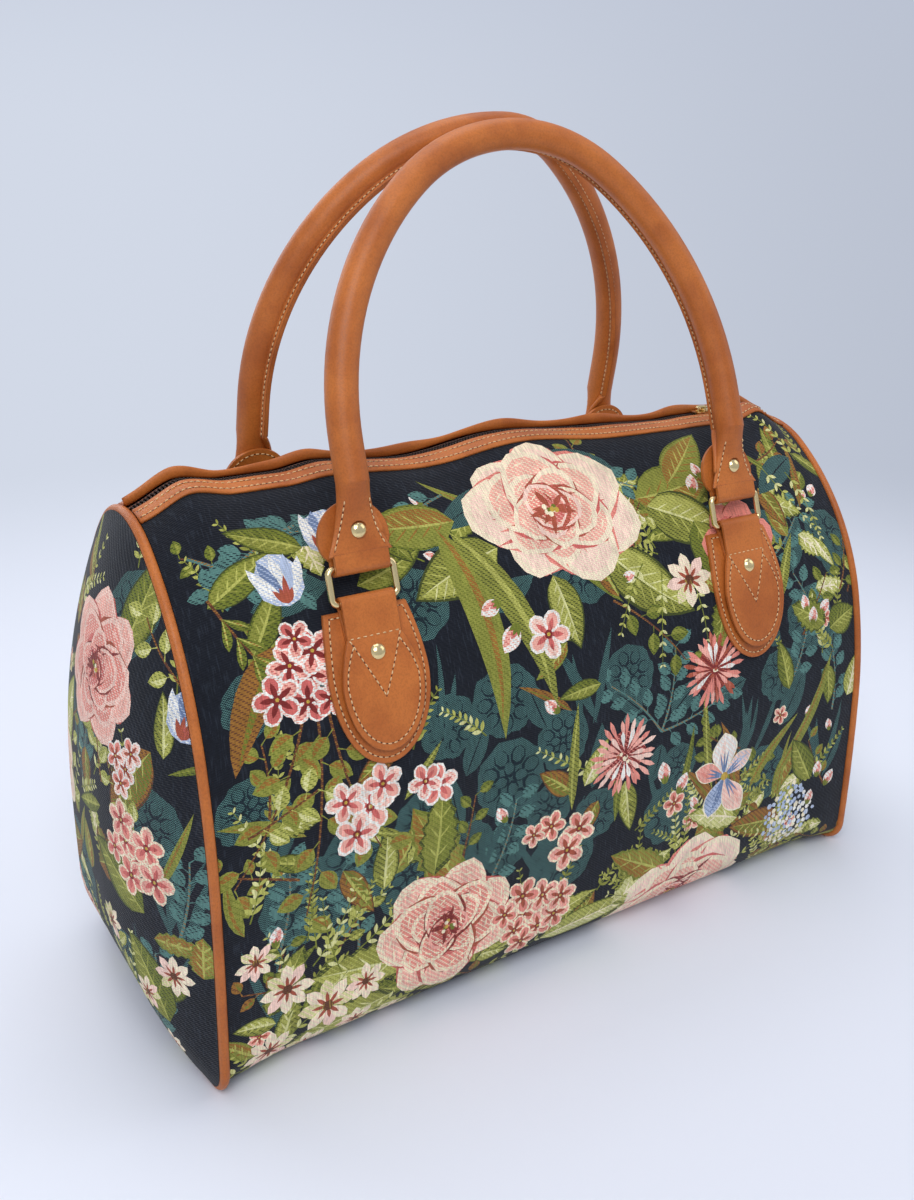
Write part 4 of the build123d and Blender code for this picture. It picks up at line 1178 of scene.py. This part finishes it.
def tube(path, radius, sides=6, reference=(0, 0, 1)):
    """Round tube along a path, its radius one number or one for each point"""
    along = unit(np.gradient(path, axis=0))
    across = unit(np.cross(along, np.broadcast_to(reference, path.shape)))
    up = np.cross(across, along)
    turns = np.linspace(0, 2 * np.pi, sides, endpoint=False)
    ring = across[:, None] * np.cos(turns)[:, None] + up[:, None] * np.sin(turns)[:, None]
    return rings(path[:, None] + ring * np.reshape(radius, (-1, 1, 1)))


class Sewing:
    """Rows of stitches gathered into one mesh of thread and one of painted hole shade, dark marks at the
    needle holes, for each body
    """

    # Places along a stitch as shares of its length, heights in millimetres, thickness in thread radii
    PROFILE = np.array(((-0.5, -0.3, 0.5), (-0.3, 0.16, 1), (0, 0.24, 1.08), (0.3, 0.16, 1),
                        (0.5, -0.3, 0.5)))
    HOLE_LENGTH, HOLE_WIDTH, HOLE_RIM, HOLE_TOP, HOLE_SIDES = 0.62, 0.4, 0.03, 0.06, 6

    def __init__(self, seed):
        self.random = random.Random(seed)
        self.thread, self.holes = ([], []), ([], [])

    def gather(self, store, points, faces):
        start = sum(len(some) for some in store[0])
        store[0].append(points)
        store[1].extend([tuple(i + start for i in face) for face in faces])

    def row(self, path, normals):
        """Stitches along a path that lies on a surface with these normals"""
        steps = np.linalg.norm(np.diff(path, axis=0), axis=1)
        runs = np.concatenate([[0], np.cumsum(steps)])
        count = int(runs[-1] / STITCH_PITCH)
        if count < 1:
            return
        pitch = runs[-1] / count

        def at(run, values):
            return np.array([np.interp(run, runs, axis) for axis in values.T])

        for i in range(count):
            middle = (i + 0.5) * pitch
            length = STITCH_LENGTH * self.random.uniform(0.92, 1.06)
            spots = np.array([at(middle + share * length, path) for share in self.PROFILE[:, 0]])
            normal = unit(at(middle, normals))
            ahead = unit(spots[-1] - spots[0])
            slant = np.cross(normal, ahead) * self.random.uniform(-0.1, 0.1)
            lean = np.linspace(-1, 1, len(spots))[:, None] * slant
            lift = self.PROFILE[:, 1:2] * normal
            wide = self.PROFILE[:, 2] * THREAD_RADIUS
            self.gather(self.thread, *tube(spots + lift + lean, wide, 5, normal))
            # a dark fan over the leather at each needle hole, its painted shade
            hole, side = at(i * pitch, path), np.cross(normal, ahead)
            turns = np.linspace(0, 2 * np.pi, self.HOLE_SIDES, endpoint=False)[:, None]
            rim = hole + normal * self.HOLE_RIM + self.HOLE_LENGTH * ahead * np.cos(turns)
            rim = rim + self.HOLE_WIDTH * side * np.sin(turns)
            points = np.vstack([rim, hole + normal * self.HOLE_TOP])
            fan = [(k, (k + 1) % self.HOLE_SIDES, self.HOLE_SIDES) for k in range(self.HOLE_SIDES)]
            self.gather(self.holes, points, fan)

    def finish(self, name, body):
        for store, material, kind in ((self.thread, THREAD, "thread"), (self.holes, HOLE_SHADE, "hole_shades")):
            make_piece(f"{name}_{kind}", np.concatenate(store[0]), store[1], material, body)


def on_wall(x, z, side, lift):
    """Point and normal over the middle of a wall at this height"""
    run = np.interp(z, MIDDLE_HEIGHTS, HEIGHT_RUNS)
    return wall(x, run, side, lift)


def along_zip(depth, side, lift, count=300):
    x = np.linspace(-PANEL_REACH + 1.5, PANEL_REACH - 1.5, count)
    points, normals = wall(x, run_at_depth(x, depth), side, lift)
    return settle(points), normals


def pointed(width, top_width, low, waist, high, inset, count=28):
    """Outline of a tab from its top left corner down, round the point and up to its top right corner"""
    half, top = width / 2 - inset, top_width / 2 - inset
    middle = (top_width / 2 + width / 2) / 2 + (width - top_width) / 12 - inset
    up = np.linspace(0, 1, count // 2)
    side_x = (1 - up) * (1 - 2 * up) * half + 4 * up * (1 - up) * middle + up * (2 * up - 1) * top
    side_z = waist + (high - inset - waist) * up
    turns = np.linspace(math.pi, 2 * math.pi, count)
    round_x, round_z = half * np.cos(turns), waist + (waist - low - inset) * np.sin(turns)
    x = np.concatenate([-side_x[::-1], round_x[1:-1], side_x])
    z = np.concatenate([side_z[::-1], round_z[1:-1], side_z])
    return x, z


# Width, width at the top, and heights of the point, the widest place and the top
BACKING = (56.0, 47.0, 167.0, 212.0, 243.0)
SHIELD = (45.0, 30.4, 175.0, 209.0, 229.0)
BACKING_INSET, SHIELD_INSET = 2.8, 2.6
V_LEFT, V_RIGHT, V_POINT = (-14.5, 229.5), (14.5, 229.5), (0, 201.0)


def sew_tabs(sewing):
    for side in (-1, 1):
        for centre in (-TAB_SPACING, TAB_SPACING):
            x, z = pointed(*BACKING, BACKING_INSET)
            x, z = resample(np.append(x, x[0]), np.append(z, z[0]))
            sewing.row(*on_wall(x + centre, z, side, LEATHER_TOP))
            x, z = resample(*pointed(*SHIELD, SHIELD_INSET))
            sewing.row(*on_wall(x + centre, z, side, STRAP_TOP))
            for (x0, z0), (x1, z1) in ((V_LEFT, V_RIGHT), (V_LEFT, V_POINT), (V_POINT, V_RIGHT)):
                x, z = np.linspace(x0, x1, 12), np.linspace(z0, z1, 12)
                sewing.row(*on_wall(x + centre, z, side, STRAP_TOP))


def resample(x, z, step=1.0):
    runs = np.concatenate([[0], np.cumsum(np.hypot(np.diff(x), np.diff(z)))])
    places = np.linspace(0, runs[-1], max(int(runs[-1] / step), 2))
    return np.interp(places, runs, x), np.interp(places, runs, z)


# Handles

JOINTS = {joint["name"]: joint for joint in frame["joints"]}
RING_PIVOT = np.array(JOINTS["front_left_ring_swing"]["pos_m"]) / MM
HANDLE_PIVOT = np.array(JOINTS["front_handle_swing"]["pos_m"]) / MM
LEAN_UP = unit((HANDLE_PIVOT - RING_PIVOT) * (0, 1, 1))
LEAN_OUT = np.array((0, -LEAN_UP[2], LEAN_UP[1]))
SET_BACK = math.radians(4.0)
HANDLE_RADIUS, SEAM_REACH, SEAM_HALF = 8.7, 10.6, 1.6
HANDLE_OFFSET = HANDLE_RADIUS + 0.2 - 2.1
HANDLE_RISE, HANDLE_LEG, END_NECK, ARCH_TURN, SEAM_ANGLE = 222.0, 62.0, 42.0, 50.0, 70.0
END_WIDTH, FLAT_RISE, FLAT_THICKNESS, FOLD_OUTER = 36.0, 6.0, 2.0, 4.1
FLAP_WIDTH, FLAP_LENGTH = 40.0, 34.0
END_SEAM, END_SEAM_INSET = (9.0, 34.0), 2.4


def hang(points, normals, front):
    """Moves points of the front handle to the back handle's place, where it stands a few degrees back"""
    if front:
        return points, normals
    turn = Matrix.Rotation(-SET_BACK, 3, "X")
    pivot = RING_PIVOT * (0, -1, 1)
    matrix = np.array(turn).T
    return (points * (1, -1, 1) - pivot) @ matrix + pivot, (normals * (1, -1, 1)) @ matrix


def from_end(across, rise, out, right):
    """Point of a handle end from its place across, up from the ring's bar and out of the ring's plane"""
    across = -np.asarray(across, float) if right else np.asarray(across, float)
    centre = TAB_SPACING if right else -TAB_SPACING
    place = HANDLE_PIVOT * (0, 1, 1) + np.multiply.outer(rise, LEAN_UP) + np.multiply.outer(out, LEAN_OUT)
    place[..., 0] += centre + across
    return place


def end_section(rise):
    """Half width, half depth and middle of the flattened tube at this rise"""
    share = np.clip((rise - FLAT_RISE) / (END_NECK - FLAT_RISE), 0, 1)
    depth = FLAT_THICKNESS / 2 + (HANDLE_RADIUS - FLAT_THICKNESS / 2) * share**1.4
    width = END_WIDTH / 2 + (HANDLE_RADIUS - END_WIDTH / 2) * (1 - (1 - share) ** 2)
    middle = 2.1 * (1 - share) ** 2 - 1.9 * (1 - (1 - share) ** 2) + depth
    return width, depth, middle


def arch(sway, step=2.0):
    """Centre line of a handle in its own plane, as across and rise, with the direction to its inner side"""
    a, b = 1 - cosine(ARCH_TURN), cosine(ARCH_TURN)
    c, d = sine(ARCH_TURN), 1 - sine(ARCH_TURN)
    climb = HANDLE_RISE - HANDLE_LEG
    pieces = []
    for span in (TAB_SPACING + sway, TAB_SPACING - sway):
        lower = (span * d - b * climb) / (a * d - b * c)
        upper = (a * climb - c * span) / (a * d - b * c)
        pieces.append((lower, upper))
    place, heading, points, headings = complex(-TAB_SPACING, END_NECK), 90.0, [], []
    runs = [(0, HANDLE_LEG - END_NECK), (pieces[0][0], ARCH_TURN), (pieces[0][1], 90 - ARCH_TURN),
            (pieces[1][1], 90 - ARCH_TURN), (pieces[1][0], ARCH_TURN), (0, HANDLE_LEG - END_NECK)]
    for radius, amount in runs:
        length = amount if radius == 0 else radius * math.radians(amount)
        count = max(int(length / step), 2)
        for i in range(count):
            points.append(place)
            headings.append(turned(heading))
            turn = 0 if radius == 0 else amount / count
            place += turned(heading - turn / 2) * length / count
            heading -= turn
    points.append(place)
    headings.append(turned(heading))
    return np.array(points), np.array(headings)


def in_handle_plane(flat, out):
    """Points from their across and rise, as complex numbers, and how far they stand out of the plane"""
    points = HANDLE_PIVOT * (0, 1, 1) + np.multiply.outer(flat.imag, LEAN_UP)
    points += np.multiply.outer(np.broadcast_to(out, flat.shape), LEAN_OUT)
    points[..., 0] = flat.real
    return points


def sew_handle(sewing, front, sway):
    flat, headings = arch(sway)
    inner = headings * -1j
    for side in (-1, 1):
        spoke = np.array((cosine(SEAM_ANGLE), sine(SEAM_ANGLE)))
        across = np.array((-spoke[1], spoke[0])) * side
        offset = spoke * SEAM_REACH + across * SEAM_HALF
        path = in_handle_plane(flat + inner * offset[0], HANDLE_OFFSET - offset[1])
        turned_in = in_handle_plane(inner * across[0], -across[1]) - HANDLE_PIVOT * (0, 1, 1)
        sewing.row(*hang(path, unit(turned_in), front))
    for right in (False, True):
        for edge in (-1, 1):
            rise = np.linspace(*END_SEAM, 12)
            width, depth, middle = end_section(rise)
            reach = width - END_SEAM_INSET
            out = middle + depth * np.sqrt(1 - (reach / width) ** 2)
            path = from_end(edge * reach, rise, out, right)
            lean = 0.55 * edge * (-1 if right else 1)
            normals = unit(np.broadcast_to(LEAN_OUT, path.shape) + np.array((lean, 0, 0)))
            sewing.row(*hang(path, normals, front))
        turns = np.linspace(-2.4, 2.4, 40)
        half = FLAP_WIDTH / 2 - BACKING_INSET
        x, z = half * np.sin(turns), FLAP_LENGTH - FLAP_WIDTH / 2 + half * np.cos(turns)
        path = from_end(x, z, np.full(len(x), -FOLD_OUTER), right)
        sewing.row(*hang(path, np.broadcast_to(-LEAN_OUT, path.shape), front))


def make_lip_ends(name, front):
    """The sewn lip of a handle runs down into the side edge of each flattened end"""
    for right in (False, True):
        share = np.linspace(0, 1, 14)
        rise = END_NECK - 27 * share
        angle = np.radians(SEAM_ANGLE * (1 - share) ** 1.3)
        width, depth, middle = end_section(rise)
        loops = []
        for reach, offset in ((-1, -1), (0.75, -1), (1, -0.6), (1, 0.6), (0.75, 1), (-1, 1)):
            away = (4.0 * (1 - share) + 0.9 * share) * reach if reach > 0 else -1.0
            aside = SEAM_HALF * (1 - 0.5 * share) * offset
            across = (width + away) * np.cos(angle) - aside * np.sin(angle)
            back = (depth + away) * np.sin(angle) + aside * np.cos(angle)
            loops.append(from_end(across, rise, middle - back, right))
        grid = np.stack(loops, 1)
        points, faces = rings(grid if right else grid[:, ::-1])
        points, _ = hang(points, np.zeros_like(points), front)
        place = "right" if right else "left"
        make_piece(f"{name}_{place}_lip_end", points, faces, FINISHES["tan_leather"], name)


def make_sewing():
    body = Sewing(5)
    for side in (-1, 1):
        for depth, lift in BAND_SEAMS:
            body.row(*along_zip(depth, side, lift))
    sew_tabs(body)
    body.finish("bag", "bag")
    for name, front, sway in (("front_handle", True, 5.0), ("back_handle", False, 20.0)):
        sewing = Sewing(7)
        sew_handle(sewing, front, sway)
        sewing.finish(name, name)
        make_lip_ends(name, front)


# Zip

COIL_PITCH, COIL_WIRE = 1.9, 0.42
COIL_DEPTH, COIL_REACH, COIL_SINK, COIL_RISE = 1.75, 0.95, 0.5, 0.6
BAND_LIPS = {"front": 0.5, "back": 4.4}

# Section of the tape as depths from the zip's middle and lifts over the wall
TAPE_SECTION = ((14.5, -2.1), (14.5, -1.7), (8.2, -1.5), (6.5, -0.9), (4.6, -0.35), (2.9, -0.3), (2.4, -0.5),
                (2.6, -0.9), (4.6, -0.95), (6.5, -1.5), (8.2, -2.0))


def band_section(lip):
    """Section of a leather band, its inner edge rolled up by lip"""
    return ((18.6, 0.1), (18.6, 1.3), (18.0, 1.7), (15, BAND_TOP), (12, BAND_TOP - 0.1),
            (9.6, BAND_TOP - 0.3), (8.0, 1.25 + lip * 0.2), (7.0, 1.2 + lip * 0.5), (6.5, 1.1 + lip * 0.85),
            (5.9, 1.0 + lip), (5.3, 0.9 + lip * 0.9), (5.2, 0.7 + lip * 0.5), (5.6, 0.4 + lip * 0.2),
            (6.4, 0.15), (9, 0.05), (13, 0.05))


def make_zip():
    for side, name in ((-1, "front"), (1, "back")):
        turns = int(2 * (PANEL_REACH - 1) / COIL_PITCH)
        angle = np.arange(turns * 8 + 1) * math.pi / 4 + (0 if side < 0 else math.pi / 2)
        x = np.linspace(-PANEL_REACH + 1, PANEL_REACH - 1, len(angle))
        depth = COIL_DEPTH + COIL_REACH * np.cos(angle)
        ridge = np.interp(x, *ridge_line())
        points = np.stack([x, side * depth, ridge - COIL_SINK + COIL_RISE * np.sin(angle)], -1)
        points, faces = tube(settle(points), COIL_WIRE, 5, (1, 0, 0))
        coil = FINISHES["zip_coil"]
        make_piece(f"{name}_coil", points, faces, coil, "bag", [f"{name}_zip_teeth"])
        make_strip(f"{name}_leather_band", band_section(BAND_LIPS[name]), side, "tan_leather",
                   f"{name}_zip_band", 0.35)
        make_strip(f"{name}_tape", TAPE_SECTION, side, "zip_tape", f"{name}_zip_tape", 0.0)


def ridge_line():
    x = np.linspace(-PANEL_REACH, PANEL_REACH, 200)
    return x, outline_point(x, np.ones(200))[:, 1]


def make_strip(name, section, side, slot, node, unevenness):
    """Long strip over the ridge with this section of depths and lifts"""
    x = np.linspace(-PANEL_REACH, PANEL_REACH, 180)
    loops = []
    for depth, lift in section:
        high = max(lift - BAND_TOP, 0)
        uneven = unevenness * (high * np.sin(x / 11 + side) + 0.4 * np.sin(x / 5.3 + depth))
        points, _ = wall(x, run_at_depth(x, depth), side, lift + uneven * (lift > 1))
        loops.append(settle(points))
    points, faces = rings(np.stack(loops if side < 0 else loops[::-1], 1))
    make_piece(name, points, faces, FINISHES[slot], "bag", [node])


# Floor, lamps and camera

FLOOR_COLOUR = linear(228, 232, 244)
# Backdrop colours are painted light: lit to the left, shaded to the right and higher up
LIT_LEFT_COLOUR = linear(210, 217, 231)
SHADED_RIGHT_COLOUR = linear(184, 191, 206)
SHADED_HIGH_COLOUR = linear(186, 194, 212)
BAG_MIDDLE = (0, 0, 0.18)
BACKDROP_FROM = (-0.394, -0.629, 0.0)
BACKDROP_SIDE = (0.819, -0.574, 0.0)


def painted_backdrop_light(f, direction):
    """Painted light of the backdrop this way from the place in front of the bag: lighter to the left, darker
    to the right
    """
    flat = f.node("VectorMath", {0: direction, 1: (1.0, 1.0, 0.0)}, operation="MULTIPLY").outputs[0]
    flat = f.node("VectorMath", {0: flat}, operation="NORMALIZE").outputs[0]
    side = f.node("VectorMath", {0: flat, 1: BACKDROP_SIDE}, operation="DOT_PRODUCT").outputs["Value"]
    return f.mix(f.ramp(side, -0.4, 0.45), LIT_LEFT_COLOUR, SHADED_RIGHT_COLOUR)


def make_stage():
    """Pale floor that melts into a glowing backdrop of painted light away from the bag, and a soft pale world
    """
    f = Finish("pale_floor", Base_Color=FLOOR_COLOUR, Roughness=0.8, Specular_IOR_Level=0.1)
    reach = f.node("VectorMath", {0: f.place()}, operation="LENGTH").outputs["Value"]
    away = f.node("VectorMath", {0: f.place(), 1: BACKDROP_FROM}, operation="SUBTRACT").outputs[0]
    # away from the bag the floor glows in the backdrop's painted light
    backdrop_glow = f.node("Emission", {"Color": painted_backdrop_light(f, away), "Strength": 1.0}).outputs[0]
    fade = f.node("MixShader", {0: f.ramp(reach, 0.4, 1.3), 1: f.shader.outputs[0], 2: backdrop_glow})
    f.put(f.tree.nodes["Material Output"].inputs["Surface"], fade.outputs[0])
    bpy.ops.mesh.primitive_circle_add(vertices=64, radius=9, fill_type="NGON")
    floor = bpy.context.object
    floor.name = "floor"
    floor.data.materials.append(f.material)

    world = bpy.data.worlds.new("studio")
    bpy.context.scene.world = world
    world.use_nodes = True
    f.tree = world.node_tree
    rays = f.node("LightPath").outputs
    seen = f.math("MAXIMUM", f.math("MAXIMUM", rays["Is Camera Ray"], rays["Is Glossy Ray"]),
                  rays["Is Transmission Ray"])
    direction = f.node("TexCoord").outputs["Generated"]
    up = f.node("SeparateXYZ", {0: direction}).outputs["Z"]
    # the backdrop that camera and glossy rays see is painted shade towards the top
    backdrop = f.mix(f.ramp(up, 0.0, 0.3), painted_backdrop_light(f, direction), SHADED_HIGH_COLOUR)
    shown = f.node("Background", {"Color": backdrop, "Strength": 1.0}).outputs[0]
    soft = f.tree.nodes["Background"]
    f.put(soft.inputs["Color"], (0.88, 0.92, 1.0))
    soft.inputs["Strength"].default_value = 0.44
    both = f.node("MixShader", {0: seen, 1: soft.outputs[0], 2: shown}).outputs[0]
    f.put(f.tree.nodes["World Output"].inputs["Surface"], both)


def add_lamp(name, location, size, power):
    """Square lamp that faces the middle of the bag"""
    lamp = bpy.data.lights.new(name, "AREA")
    lamp.shape = "SQUARE"
    lamp.size = size
    lamp.energy = power
    holder = bpy.data.objects.new(name, lamp)
    holder.location = location
    holder.rotation_euler = (Vector(BAG_MIDDLE) - Vector(location)).to_track_quat("-Z", "Y").to_euler()
    bpy.context.collection.objects.link(holder)


def make_camera():
    camera = bpy.data.cameras.new("camera")
    camera.lens = 37.656
    camera.sensor_width = 36
    camera.shift_x = -0.0918
    camera.shift_y = -0.0788
    camera.clip_start = 0.01
    holder = bpy.data.objects.new("camera", camera)
    holder.location = (-0.39396, -0.62929, 0.47627)
    holder.rotation_euler = Euler([math.radians(a) for a in (73.764, -1.082, -35.035)])
    bpy.context.collection.objects.link(holder)
    bpy.context.scene.camera = holder


for node in frame["nodes"].values():
    for slot in node.material_slots:
        slot.material = FINISHES[slot.material.name.split(".")[0]]
make_cloth()
make_sewing()
make_zip()
make_stage()
add_lamp("key", (-0.9, -1.5, 1.9), 1.3, 30)
add_lamp("fill", (1.9, -0.9, 1.4), 1.4, 7)
add_lamp("top", (0.1, 0.5, 2.3), 1.6, 16)
add_lamp("rear", (-0.6, 2.0, 1.2), 1.6, 14)
make_camera()
bpy.context.scene.view_settings.view_transform = "Standard"
